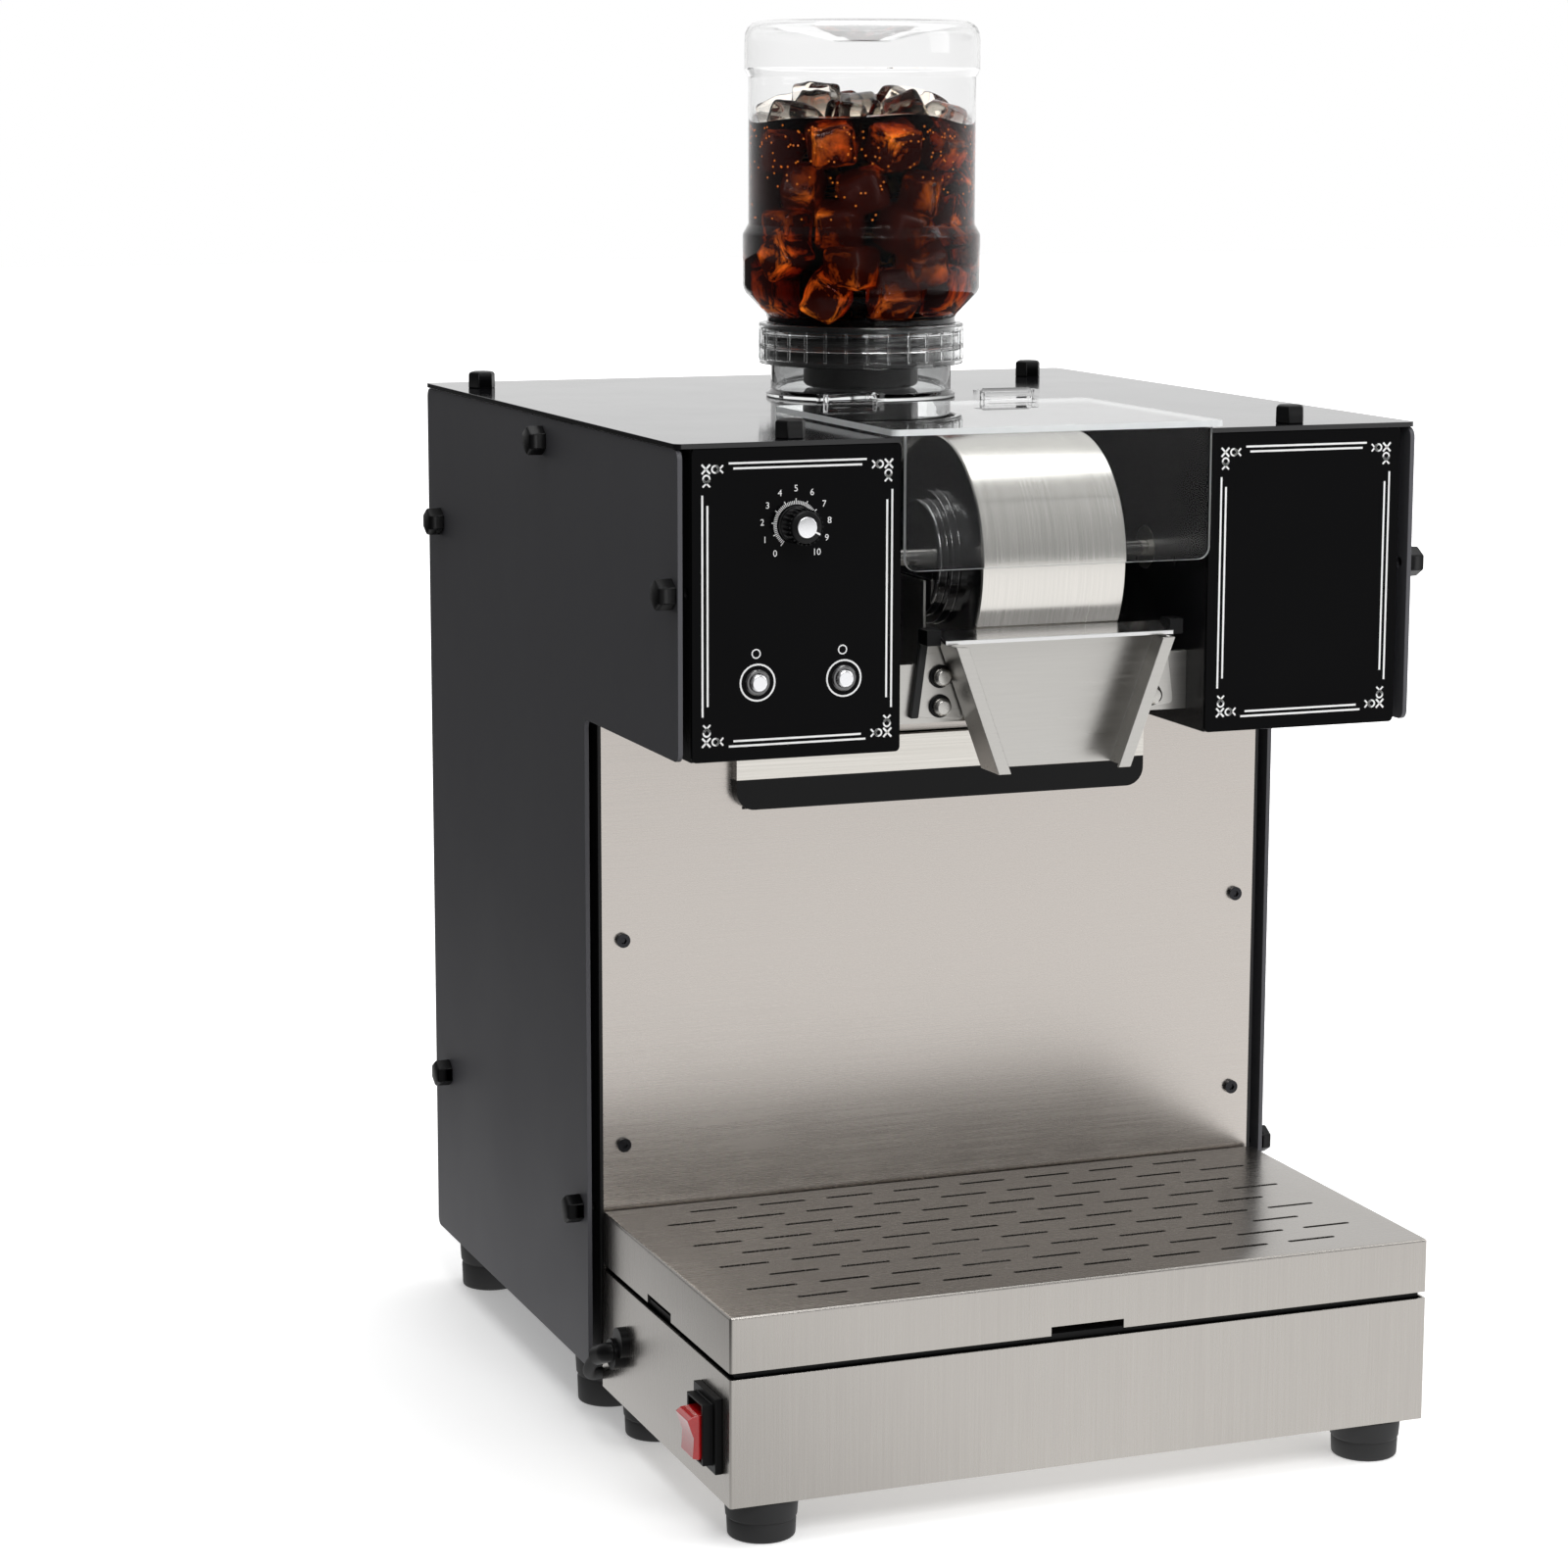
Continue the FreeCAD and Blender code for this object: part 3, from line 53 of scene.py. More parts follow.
BODY_OF = {node: body for body, nodes in RECORD["behaviour"]["bodies"].items() for node in nodes}
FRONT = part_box("left_front_panel")[0].y * 1000


def spot(x, depth, height):
    """A place on the machine, in metres."""
    return Vector((x, FRONT + depth, height)) / 1000


def placed(name, data):
    """A new object in the scene that holds the data."""
    made = bpy.data.objects.new(name, data)
    bpy.context.scene.collection.objects.link(made)
    return made


def meshed(name, work):
    """A new mesh object from a working mesh, which is freed."""
    mesh = bpy.data.meshes.new(name)
    work.to_mesh(mesh)
    work.free()
    return placed(name, mesh)


# ---------------- camera

LENS, SENSOR = 89.75, 36
CAMERA_AT = (-0.6505, -1.56145, 0.5577)
PAN, TILT, ROLL = -20.805, -9.892, 0.108


def place_camera():
    data = bpy.data.cameras.new("camera")
    data.lens = LENS
    data.sensor_width = SENSOR
    data.clip_start = 0.05
    camera = placed("camera", data)
    turn = (Matrix.Rotation(math.radians(PAN), 4, "Z") @ Matrix.Rotation(math.radians(90 + TILT), 4, "X")
            @ Matrix.Rotation(math.radians(ROLL), 4, "Z"))
    camera.matrix_world = Matrix.Translation(CAMERA_AT) @ turn
    bpy.context.scene.camera = camera


place_camera()


# ---------------- making materials

def colour(code):
    """An sRGB hex value as linear light."""
    parts = [int(code[at:at + 2], 16) / 255 for at in (1, 3, 5)]
    return (*[c / 12.92 if c <= 0.04045 else ((c + 0.055) / 1.055) ** 2.4 for c in parts], 1)


def add(tree, kind, inputs=None, **settings):
    """One node with its settings; each input is a value, or another node's output to link."""
    node = tree.nodes.new(kind)
    for name, value in settings.items():
        setattr(node, name, value)
    for socket, value in (inputs or {}).items():
        if isinstance(value, bpy.types.NodeSocket):
            tree.links.new(value, node.inputs[socket])
        else:
            node.inputs[socket].default_value = value
    return node


def ranged(tree, value, start, end, low=0.0, high=1.0):
    """A value carried from one span to another."""
    return add(tree, "ShaderNodeMapRange", {"Value": value, "From Min": start, "From Max": end,
                                            "To Min": low, "To Max": high}).outputs[0]


def noise(tree, place, size, detail=2, **more):
    """Soft noise whose features have the given size in millimetres."""
    return add(tree, "ShaderNodeTexNoise",
               {"Vector": place, "Scale": 1000 / size, "Detail": detail, **more}).outputs["Fac"]


def blended(tree, share, dark, light):
    return add(tree, "ShaderNodeMix", {0: share, 6: dark, 7: light}, data_type="RGBA").outputs[2]


def finish(name, base, rough, metal=0.0, **sockets):
    """A material with its shader; further shader sockets are named with _ for a space."""
    material = bpy.data.materials.new(name)
    material.use_nodes = True
    tree = material.node_tree
    tree.nodes.clear()
    inputs = {"Base Color": colour(base), "Roughness": rough, "Metallic": metal}
    inputs.update({socket.replace("_", " "): value for socket, value in sockets.items()})
    shader = add(tree, "ShaderNodeBsdfPrincipled", inputs)
    add(tree, "ShaderNodeOutputMaterial", {"Surface": shader.outputs[0]})
    return material, tree, shader


def tones(tree, shader, pattern, dark, light, rough):
    """Colour and roughness that wander between two values with a pattern."""
    tree.links.new(blended(tree, pattern, colour(dark), colour(light)), shader.inputs["Base Color"])
    tree.links.new(ranged(tree, pattern, 0.3, 0.7, *rough), shader.inputs["Roughness"])


def relief(tree, shader, pattern, height):
    """A bump whose full height is given in millimetres."""
    bump = add(tree, "ShaderNodeBump", {"Height": pattern, "Distance": height / 1000})
    tree.links.new(bump.outputs[0], shader.inputs["Normal"])


def grained(name, dark, light, rough, grain, height, patch=40, **sockets):
    """A paint or a moulding: a fine grain for the bump, and wide soft patches of tone and gloss."""
    material, tree, shader = finish(name, dark, rough[0], **sockets)
    place = add(tree, "ShaderNodeTexCoord").outputs["Object"]
    tones(tree, shader, noise(tree, place, patch, 4), dark, light, rough)
    relief(tree, shader, noise(tree, place, grain), height)
    return material


def drawn(name, dark, light, rough, streak, height, on_top=None, **sockets):
    """Metal with fine parallel lines. The streak gives the lines' size along X, Y and Z in
    millimetres; on_top is another streak for the faces that look up."""
    material, tree, shader = finish(name, dark, rough[0], metal=1.0, **sockets)
    place = add(tree, "ShaderNodeTexCoord")
    lines = add(tree, "ShaderNodeMapping", {"Vector": place.outputs["Object"],
                                            "Scale": [1000 / size for size in streak]}).outputs[0]
    if on_top:
        flat = add(tree, "ShaderNodeMapping", {"Vector": place.outputs["Object"],
                                               "Scale": [1000 / size for size in on_top]})
        up = add(tree, "ShaderNodeSeparateXYZ", {0: place.outputs["Normal"]})
        steep = add(tree, "ShaderNodeMath", {0: up.outputs["Z"], 1: 0.6}, operation="GREATER_THAN")
        lines = add(tree, "ShaderNodeMix", {0: steep.outputs[0], 4: lines, 5: flat.outputs[0]},
                    data_type="VECTOR").outputs[1]
    fine = noise(tree, lines, 1000, 3)
    blend = add(tree, "ShaderNodeMix", {0: 0.3, 2: fine, 3: noise(tree, place.outputs["Object"], 1000 / 18)})
    tones(tree, shader, blend.outputs[0], dark, light, rough)
    relief(tree, shader, fine, height)
    return material


def clear(name, tint, rough, ior, ripple, height, **sockets):
    """A clear material whose surface has soft moulded ripples of the given size."""
    material, tree, shader = finish(name, tint, rough, IOR=ior, Transmission_Weight=1.0, **sockets)
    place = add(tree, "ShaderNodeTexCoord").outputs["Object"]
    relief(tree, shader, noise(tree, place, ripple), height)
    return material, tree


# ---------------- the machine's finishes

# Charcoal powder coat on steel sheet: matt, with a fine orange peel about 1 mm across.
CHARCOAL_COAT = grained("charcoal_powder_coat", "#4c4c50", "#505054", (0.5, 0.58), 1.1, 0.02, patch=90,
                        Specular_IOR_Level=0.35)
# Black powder coat inside: the same peel, darker.
BLACK_COAT = grained("black_powder_coat", "#0c0c0d", "#121213", (0.42, 0.52), 1.1, 0.02,
                     Specular_IOR_Level=0.3)
# Satin black enamel in the drum bay: smooth, with soft reflections.
SATIN_ENAMEL = grained("satin_black_enamel", "#101012", "#161618", (0.2, 0.28), 2.5, 0.008)
# Gloss black acrylic facing: deep black with clear, weak reflections.
GLOSS_ACRYLIC = grained("gloss_black_acrylic", "#060607", "#09090a", (0.06, 0.1), 6, 0.001,
                        IOR=1.49, Specular_IOR_Level=0.04)
# Gloss black enamel on the top plate: mirrors what stands on it, pale where seen at a low angle.
GLOSS_ENAMEL = grained("gloss_black_enamel", "#0d0d0f", "#121214", (0.07, 0.11), 8, 0.002)
# Glass-filled nylon mouldings: black, satin, with a faint spark-eroded grain.
NYLON = grained("black_nylon", "#060607", "#0a0a0b", (0.34, 0.44), 0.9, 0.015, Specular_IOR_Level=0.16)
# Stainless sheet brushed with the folds: upright lines on the walls, lines along X on the top.
# The real lines are about 0.1 mm apart; they are drawn 0.7 mm apart so that they show.
BRUSHED_FOLDED = drawn("brushed_stainless_folded", "#a39f9a", "#b6b2ad", (0.22, 0.3), (0.7, 0.7, 45), 0.003,
                       on_top=(45, 0.7, 0.7))
# The same sheet brushed along its width, as on a flat splash plate.
BRUSHED_ACROSS = drawn("brushed_stainless_across", "#b0aaa5", "#c6c0ba", (0.22, 0.32), (60, 0.7, 0.7), 0.003)
# Turned and polished stainless tube: rings round the axis, 0.5 mm apart, and a bright sheen.
TURNED_STEEL = drawn("turned_stainless", "#c3c0bb", "#dad7d2", (0.16, 0.28), (0.6, 60, 60), 0.004)
# Cold-rolled stainless sheet: even, slightly cloudy, with faint rolling lines.
ROLLED_STEEL = drawn("cold_rolled_stainless", "#b3b1ad", "#c8c6c2", (0.26, 0.38), (30, 1.2, 1.2), 0.003)
# Ground tool steel: bright, with short grinding lines across the edge.
GROUND_STEEL = drawn("ground_tool_steel", "#c4c4c4", "#dcdcdc", (0.12, 0.22), (0.7, 12, 12), 0.003)
# Turned stainless screws: bright and smooth.
SCREW_STEEL = drawn("screw_stainless", "#aaa8a4", "#c4c2be", (0.2, 0.32), (2, 2, 2), 0.003)
# Black-oxide socket screws: dark and oily, with bright worn edges.
BLACK_SCREW = drawn("black_oxide_screw", "#232325", "#3a3a3d", (0.18, 0.3), (2, 2, 2), 0.003)
# Bright ground shaft.
SHAFT_STEEL = drawn("ground_shaft_steel", "#c8c6c2", "#dddbd8", (0.12, 0.2), (0.6, 40, 40), 0.002)
# Hobbed gear steel with a film of grease: darker and softer.
GEAR_STEEL = drawn("hobbed_gear_steel", "#7f7d79", "#989692", (0.28, 0.4), (3, 3, 0.7), 0.004)
# Sintered bronze: dull gold with a fine open grain.
BRONZE = drawn("sintered_bronze", "#93642f", "#ab7a42", (0.32, 0.45), (0.8, 0.8, 0.8), 0.006)
# Soft drawn copper tube: warm, with slight tarnish in patches.
COPPER = drawn("drawn_copper", "#a45c36", "#c67a52", (0.22, 0.38), (8, 8, 8), 0.003)
# Satin chrome plate over brass: bright, its reflections spread out by the fine blasting.
CHROME = drawn("chrome_plate", "#dcdddf", "#ececee", (0.16, 0.26), (6, 6, 6), 0.001)
# Natural rubber feet and sheaths: dead matt, slightly dusty.
RUBBER = grained("black_rubber", "#111112", "#1c1c1d", (0.62, 0.76), 1.6, 0.03)
# Moulded red polycarbonate key: clear gloss over a bright red body.
RED_KEY = grained("red_polycarbonate", "#a80c10", "#c01216", (0.1, 0.16), 5, 0.003, patch=12,
                  IOR=1.585, Coat_Weight=0.5, Coat_Roughness=0.04, Subsurface_Weight=0.15,
                  Subsurface_Scale=0.002)
# Machined black acetal end caps: glossy, with turning rings.
ACETAL = grained("black_acetal", "#161618", "#1e1e20", (0.14, 0.22), 3, 0.004, IOR=1.48, Coat_Weight=1.0,
                 Coat_Roughness=0.12, Coat_IOR=1.9)
# Phenolic control knob: hard satin black.
PHENOLIC = grained("black_phenolic", "#060607", "#0b0b0c", (0.24, 0.34), 1.2, 0.008, Specular_IOR_Level=0.2)
# Motor enamel: dark blue-grey, slightly uneven.
MOTOR_ENAMEL = grained("motor_enamel", "#26282c", "#31343a", (0.3, 0.42), 2, 0.02)
# Epoxy glass board: green under a glossy mask.
BOARD = grained("epoxy_glass_board", "#184a2c", "#23623c", (0.22, 0.34), 1.4, 0.02, patch=6)
# White screen-printing ink: thick, matt, a touch warm.
PRINT_INK = grained("white_screen_ink", "#dcdcdc", "#f2f2f2", (0.45, 0.6), 0.6, 0.004, patch=4)
# Silicone tube: milky and soft.
SILICONE = grained("milky_silicone", "#cfcfc8", "#e2e2dc", (0.35, 0.45), 2, 0.01, IOR=1.41,
                   Transmission_Weight=0.6)


def galvanised_sheet():
    """Hot-dip galvanised sheet: zinc flowers 8 mm across, each with its own dull shine."""
    material, tree, shader = finish("galvanised_sheet", "#8f9295", 0.4, metal=1.0)
    place = add(tree, "ShaderNodeTexCoord").outputs["Object"]
    flower = add(tree, "ShaderNodeTexVoronoi", {"Vector": place, "Scale": 1000 / 8})
    grey = add(tree, "ShaderNodeSeparateXYZ", {0: flower.outputs["Color"]})
    tones(tree, shader, grey.outputs[0], "#8b8d8f", "#989a9c", (0.38, 0.5))
    return material


def tray_finish():
    """The tray's face is brushed steel, and the finger lip and the bin under it are black plastic."""
    material, tree, shader = finish("brushed_face_black_lip", "#c9c6c0", 0.25, Specular_IOR_Level=0.15)
    place = add(tree, "ShaderNodeTexCoord").outputs["Object"]
    part = add(tree, "ShaderNodeSeparateXYZ", {0: place})
    above = add(tree, "ShaderNodeMath", {0: part.outputs["Z"], 1: 0.277}, operation="GREATER_THAN")
    ahead = add(tree, "ShaderNodeMath", {0: part.outputs["Y"], 1: spot(0, 118, 0).y}, operation="LESS_THAN")
    face = add(tree, "ShaderNodeMath", {0: above.outputs[0], 1: ahead.outputs[0]}, operation="MULTIPLY")
    lines = add(tree, "ShaderNodeMapping", {"Vector": place, "Scale": (16, 1400, 1400)})
    streak = noise(tree, lines.outputs[0], 1000, 3)
    steel = blended(tree, streak, colour("#c2beb7"), colour("#dcd9d3"))
    both = blended(tree, face.outputs[0], colour("#0e0e0f"), steel)
    tree.links.new(both, shader.inputs["Base Color"])
    tree.links.new(face.outputs[0], shader.inputs["Metallic"])
    relief(tree, shader, streak, 0.003)
    return material


def drink_finish():
    """A dark brown soft drink: clear, near black in depth and amber-red where it is thin."""
    material, tree = clear("dark_drink", "#ffffff", 0.0, 1.34, 30, 0.02, Specular_Tint=colour("#404040"))
    depth = add(tree, "ShaderNodeVolumeAbsorption", {"Color": colour("#c24c14"), "Density": 230.0})
    tree.links.new(depth.outputs[0], tree.nodes["Material Output"].inputs["Volume"])
    return material


def sunken_ice():
    """Cubes seen through a film of drink, with painted light: each facet its own painted shade, and a painted
    glow from black-brown to amber, also emitted, for the light that gets into the ice.
    """
    material, tree, shader = finish("drink_tinted_ice_painted_glow", "#6e2407", 0.08, IOR=1.31, Coat_Weight=0.3)
    place = add(tree, "ShaderNodeTexCoord")
    aimed = add(tree, "ShaderNodeVectorMath", {0: place.outputs["Normal"], 1: (0.009, 0.009, 0.009)},
                operation="MULTIPLY")
    both = add(tree, "ShaderNodeVectorMath", {0: place.outputs["Object"], 1: aimed.outputs[0]},
               operation="ADD")
    facet = noise(tree, both.outputs[0], 13, 4, Roughness=0.6)
    # Painted light: soft patches where the ice is coloured and made to glow as if lit.
    painted_light_patch = ranged(tree, noise(tree, place.outputs["Object"], 42), 0.4, 0.62)
    painted_glow = add(tree, "ShaderNodeMath", {0: ranged(tree, facet, 0.47, 0.74), 1: painted_light_patch}, operation="MULTIPLY")
    amber = blended(tree, painted_glow.outputs[0], colour("#260703"), colour("#ff8424"))
    tree.links.new(amber, shader.inputs["Base Color"])
    # The painted glow is emitted too, so the ice shines though no lamp lights it.
    tree.links.new(amber, shader.inputs["Emission Color"])
    shader.inputs["Emission Strength"].default_value = 1.0
    relief(tree, shader, facet, 0.8)
    return material


# Blown polyester bottle: clear, very slightly wavy from the blow mould.
PET, _ = clear("blown_polyester", "#fdfdfd", 0.0, 1.575, 14, 0.03, Specular_Tint=colour("#606060"))
# Moulded clear polycarbonate ring and cup: a little hazy.
CLEAR_RING, _ = clear("clear_polycarbonate", "#fbfcfc", 0.015, 1.5, 5, 0.02)
# Cast acrylic sheet: very clear, with polished faces.
ACRYLIC, _ = clear("cast_acrylic", "#fdfefe", 0.0, 1.49, 60, 0.01, Specular_Tint=colour("#6c6c6c"))
# The hinges' clear resin: thin and water-clear, so they hardly show.
HINGE_RESIN, _ = clear("clear_hinge_resin", "#ffffff", 0.0, 1.06, 60, 0.01)
# Clear ice: glassy and wet, with uneven melted faces.
ICE, _ = clear("wet_ice", "#fffaf2", 0.03, 1.12, 9, 0.2)
# Acrylic cut edges, sawn and scraped: frosted, and painted near white as a painted highlight, so they show as
# bright lines.
FROSTED_EDGE_AND_HIGHLIGHT = grained("frosted_acrylic_edge_painted_highlight", "#dfe3e4", "#f4f6f6", (0.45, 0.6), 1.5, 0.02, patch=6,
                       Transmission_Weight=0.25)
# Ice under the drink's surface: the drink tints it, and a painted glow, amber in patches and nearly black
# between, stands in for the light that gets in.
SUNK_ICE = sunken_ice()
# Gas bubbles clinging in the drink: amber beads with a painted glow, coloured bright and emitted, for the
# light that comes through the drink.
BUBBLE = grained("drink_bubble", "#a8500f", "#e0892c", (0.08, 0.15), 2, 0.002, patch=3,
                 Transmission_Weight=0.5, Emission_Color=colour("#d9812a"), Emission_Strength=0.5)
GALVANISED = galvanised_sheet()
TRAY_STEEL = tray_finish()
DRINK = drink_finish()

FINISHES = {
    "side_panel_paint": CHARCOAL_COAT, "frame_paint": BLACK_COAT, "bay_paint": SATIN_ENAMEL,
    "gloss_panel": GLOSS_ACRYLIC, "top_gloss": GLOSS_ENAMEL, "black_nylon": NYLON,
    "brushed_stainless": BRUSHED_FOLDED, "drum_steel": TURNED_STEEL, "sheet_steel": ROLLED_STEEL,
    "blade_steel": GROUND_STEEL, "tray_steel": TRAY_STEEL, "fastener_steel": SCREW_STEEL,
    "galvanised": GALVANISED, "rubber": RUBBER, "red_switch": RED_KEY, "black_cap": ACETAL,
    "shaft_steel": SHAFT_STEEL, "bronze": BRONZE, "copper": COPPER, "gear_steel": GEAR_STEEL,
    "motor_paint": MOTOR_ENAMEL, "circuit": BOARD, "dial_plastic": PHENOLIC, "button_chrome": CHROME,
    "clear_bottle": PET, "drink": DRINK, "silicone": SILICONE, "acrylic": ACRYLIC,
}


# ---------------- making pieces

def solid(name, points, faces):
    """A mesh object from points in millimetres (x, depth, height), with its faces turned outwards."""
    mesh = bpy.data.meshes.new(name)
    mesh.from_pydata([spot(*point) for point in points], [], faces)
    work = bmesh.new()
    work.from_mesh(mesh)
    bmesh.ops.recalc_face_normals(work, faces=work.faces)
    work.to_mesh(mesh)
    work.free()
    return placed(name, mesh)


def smooth(made, angle=35):
    """Smooth shading that keeps the edges sharper than the angle."""
    made.data.polygons.foreach_set("use_smooth", [True] * len(made.data.polygons))
    made.data.set_sharp_from_angle(angle=math.radians(angle))
    return made


def soften(made, width, segments=2):
    """A live bevel on the sharp edges, as the real part's edges are broken."""
    bevel = made.modifiers.new("edge", "BEVEL")
    bevel.width = width / 1000
    bevel.segments = segments
    bevel.limit_method = "ANGLE"
    bevel.angle_limit = math.radians(32)
    bevel.harden_normals = True
    return made


def dress(made, material, body, slot, *stands_for):
    """Give a piece its finish, its body and the parts that it stands for."""
    if made.data.materials:
        made.data.materials.clear()
    for each in material if isinstance(material, tuple) else (material,):
        made.data.materials.append(each)
    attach(made, body)
    if stands_for:
        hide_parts(*stands_for)
    return made


# Boxes of sheet welded from a flat panel and four walls: the hollow's half width, its front and
# rear depths, and the height where the walls meet the flat panel.
WELDED = {"base_box": (152.5, -40.7, 116.7, 18.3), "drip_pan": (147.5, -35.7, 111.8, 60.5),
          "drip_cover": (152.5, -40.7, 114.4, 93.5)}


def close_seams(work):
    """Give each open edge the corners that lie on it, so that both sides of a seam merge."""
    loose = [edge for edge in work.edges if len(edge.link_faces) == 1]
    ends = {vert for edge in loose for vert in edge.verts}
    for edge in loose:
        start, span = edge.verts[0], edge.verts[1].co - edge.verts[0].co
        between = []
        for vert in ends:
            along = (vert.co - start.co).dot(span) / span.length_squared
            beyond = (start.co + span * along - vert.co).length
            if vert not in edge.verts and 0 < along < 1 and beyond < 5e-6:
                between.append((along, vert.co.copy()))
        for along, place in sorted(between, key=lambda item: -item[0]):
            added = bmesh.utils.edge_split(edge, start, 0.5)[1]
            added.co = place
            edge = next(link for link in added.link_edges if link.other_vert(added) is start)
    bmesh.ops.remove_doubles(work, verts=work.verts, dist=1e-5)


def weld(work, half, front, rear, seam):
    """Take away the faces where the panels meet, so that a welded box is one closed mesh."""
    for place, way in ((spot(half, 0, 0), (1, 0, 0)), (spot(-half, 0, 0), (1, 0, 0)),
                       (spot(0, front, 0), (0, 1, 0)), (spot(0, rear, 0), (0, 1, 0)),
                       (spot(0, 0, seam), (0, 0, 1))):
        everything = work.verts[:] + work.edges[:] + work.faces[:]
        bmesh.ops.bisect_plane(work, geom=everything, plane_co=place, plane_no=way, dist=1e-5)
    bmesh.ops.remove_doubles(work, verts=work.verts, dist=2e-6)

    def lies_on(face, axis, value):
        return all(abs(vert.co[axis] - value) < 1e-5 for vert in face.verts)

    meeting = []
    for face in work.faces:
        middle = face.calc_center_median() * 1000
        beside = abs(middle.x) > half
        walled = beside or not front < middle.y - FRONT < rear
        ends = any(lies_on(face, 1, spot(0, depth, 0).y) for depth in (front, rear))
        if (lies_on(face, 2, seam / 1000) and walled) or (ends and beside):
            meeting.append(face)
    bmesh.ops.delete(work, geom=meeting, context="FACES")
    bmesh.ops.remove_doubles(work, verts=work.verts, dist=1e-5)
    close_seams(work)


def refined(node, width, material=None):
    """A merged copy of a part's mesh with clean flats, smooth rounds and broken edges."""
    work = bmesh.new()
    work.from_mesh(NODES[node].data)
    bmesh.ops.remove_doubles(work, verts=work.verts, dist=2e-6)
    if node in WELDED:
        weld(work, *WELDED[node])
    bmesh.ops.dissolve_limit(work, angle_limit=math.radians(0.5), verts=work.verts, edges=work.edges,
                             delimit={"NORMAL"})
    mesh = bpy.data.meshes.new(node + "_finished")
    mesh.from_pydata([vert.co[:] for vert in work.verts], [],
                     [[vert.index for vert in face.verts] for face in work.faces])
    work.free()
    made = placed(node + "_finished", mesh)
    smooth(made)
    if width:
        soften(made, width)
    return dress(made, material or FINISHES[SLOT_OF[node]], BODY_OF[node], SLOT_OF[node], node)


def rounded(corners, steps=5):
    """A profile with rounded corners, from corners given as (radius, height, rounding)."""
    profile = []
    for index, (radius, height, rounding) in enumerate(corners):
        here = Vector((radius, height))
        if not rounding:
            profile.append(here)
            continue
        before = (Vector(corners[index - 1][:2]) - here).normalized()
        after = (Vector(corners[(index + 1) % len(corners)][:2]) - here).normalized()
        reach = rounding / math.tan(before.angle(after) / 2)
        for step in range(steps + 1):
            t = step / steps
            profile.append((1 - t) ** 2 * (here + before * reach) + 2 * t * (1 - t) * here
                           + t * t * (here + after * reach))
    return profile


def lathe(name, profile, centre, axis="z", around=96, ruffle=None):
    """Turn a closed profile of (radius, distance along the axis) about the axis through a centre."""
    points, rings = [], []
    for radius, along in profile:
        count = around if radius > 1e-6 else 1
        rings.append(range(len(points), len(points) + count))
        for step in range(count):
            angle = 2 * math.pi * step / around
            extra = ruffle(radius, along, angle) if ruffle else 0
            across = (radius * math.cos(angle), radius * math.sin(angle), along + extra)
            x, y, z = {"z": across, "x": (across[2], across[0], across[1]),
                       "y": (across[0], across[2], across[1])}[axis]
            points.append((centre[0] + x, centre[1] + y, centre[2] + z))
    faces = []
    for low, high in zip(rings, rings[1:] + rings[:1]):
        if len(low) == 1 and len(high) == 1:
            continue
        for step in range(around):
            after = (step + 1) % around
            corners = [low[step % len(low)], low[after % len(low)],
                       high[after % len(high)], high[step % len(high)]]
            faces.append(list(dict.fromkeys(corners)))
    return smooth(solid(name, points, faces))


SIX_FACES = [(0, 1, 3, 2), (4, 6, 7, 5), (0, 4, 5, 1), (2, 3, 7, 6), (0, 2, 6, 4), (1, 5, 7, 3)]


def block(name, x, depth, height):
    """A plain block between two places on each axis, to be softened or stamped."""
    return solid(name, [(a, b, c) for a in x for b in depth for c in height], SIX_FACES)


# ---------------- repeats, by geometry nodes

def stamping_tree():
    """Copies of a small part at marked places, each turned as its place says."""
    tree = bpy.data.node_groups.new("stamped_copies", "GeometryNodeTree")
    for name, kind in (("Places", "Geometry"), ("Part", "Object"), ("Size", "Float"), ("Tumble", "Float"),
                       ("Seed", "Int"), ("Finish", "Material")):
        tree.interface.new_socket(name=name, in_out="INPUT", socket_type="NodeSocket" + kind)
    tree.interface.new_socket(name="Copies", in_out="OUTPUT", socket_type="NodeSocketGeometry")
    given = add(tree, "NodeGroupInput").outputs
    part = add(tree, "GeometryNodeObjectInfo", {"Object": given["Part"]})
    turn = add(tree, "GeometryNodeInputNamedAttribute", {"Name": "turn"}, data_type="FLOAT_VECTOR")
    chance = add(tree, "FunctionNodeRandomValue",
                 {0: (-1.0, -1.0, -1.0), 1: (1.0, 1.0, 1.0), "Seed": given["Seed"]},
                 data_type="FLOAT_VECTOR")
    tumble = add(tree, "ShaderNodeVectorMath", {0: chance.outputs[0], "Scale": given["Tumble"]},
                 operation="SCALE")
    total = add(tree, "ShaderNodeVectorMath", {0: turn.outputs[0], 1: tumble.outputs[0]}, operation="ADD")
    facing = add(tree, "FunctionNodeEulerToRotation", {0: total.outputs[0]})
    copies = add(tree, "GeometryNodeInstanceOnPoints",
                 {"Points": given["Places"], "Instance": part.outputs["Geometry"],
                  "Rotation": facing.outputs[0], "Scale": given["Size"]})
    real = add(tree, "GeometryNodeRealizeInstances", {"Geometry": copies.outputs[0]})
    done = add(tree, "GeometryNodeSetMaterial", {"Geometry": real.outputs[0], "Material": given["Finish"]})
    add(tree, "NodeGroupOutput", {"Copies": done.outputs[0]})
    return tree


STAMPING = stamping_tree()


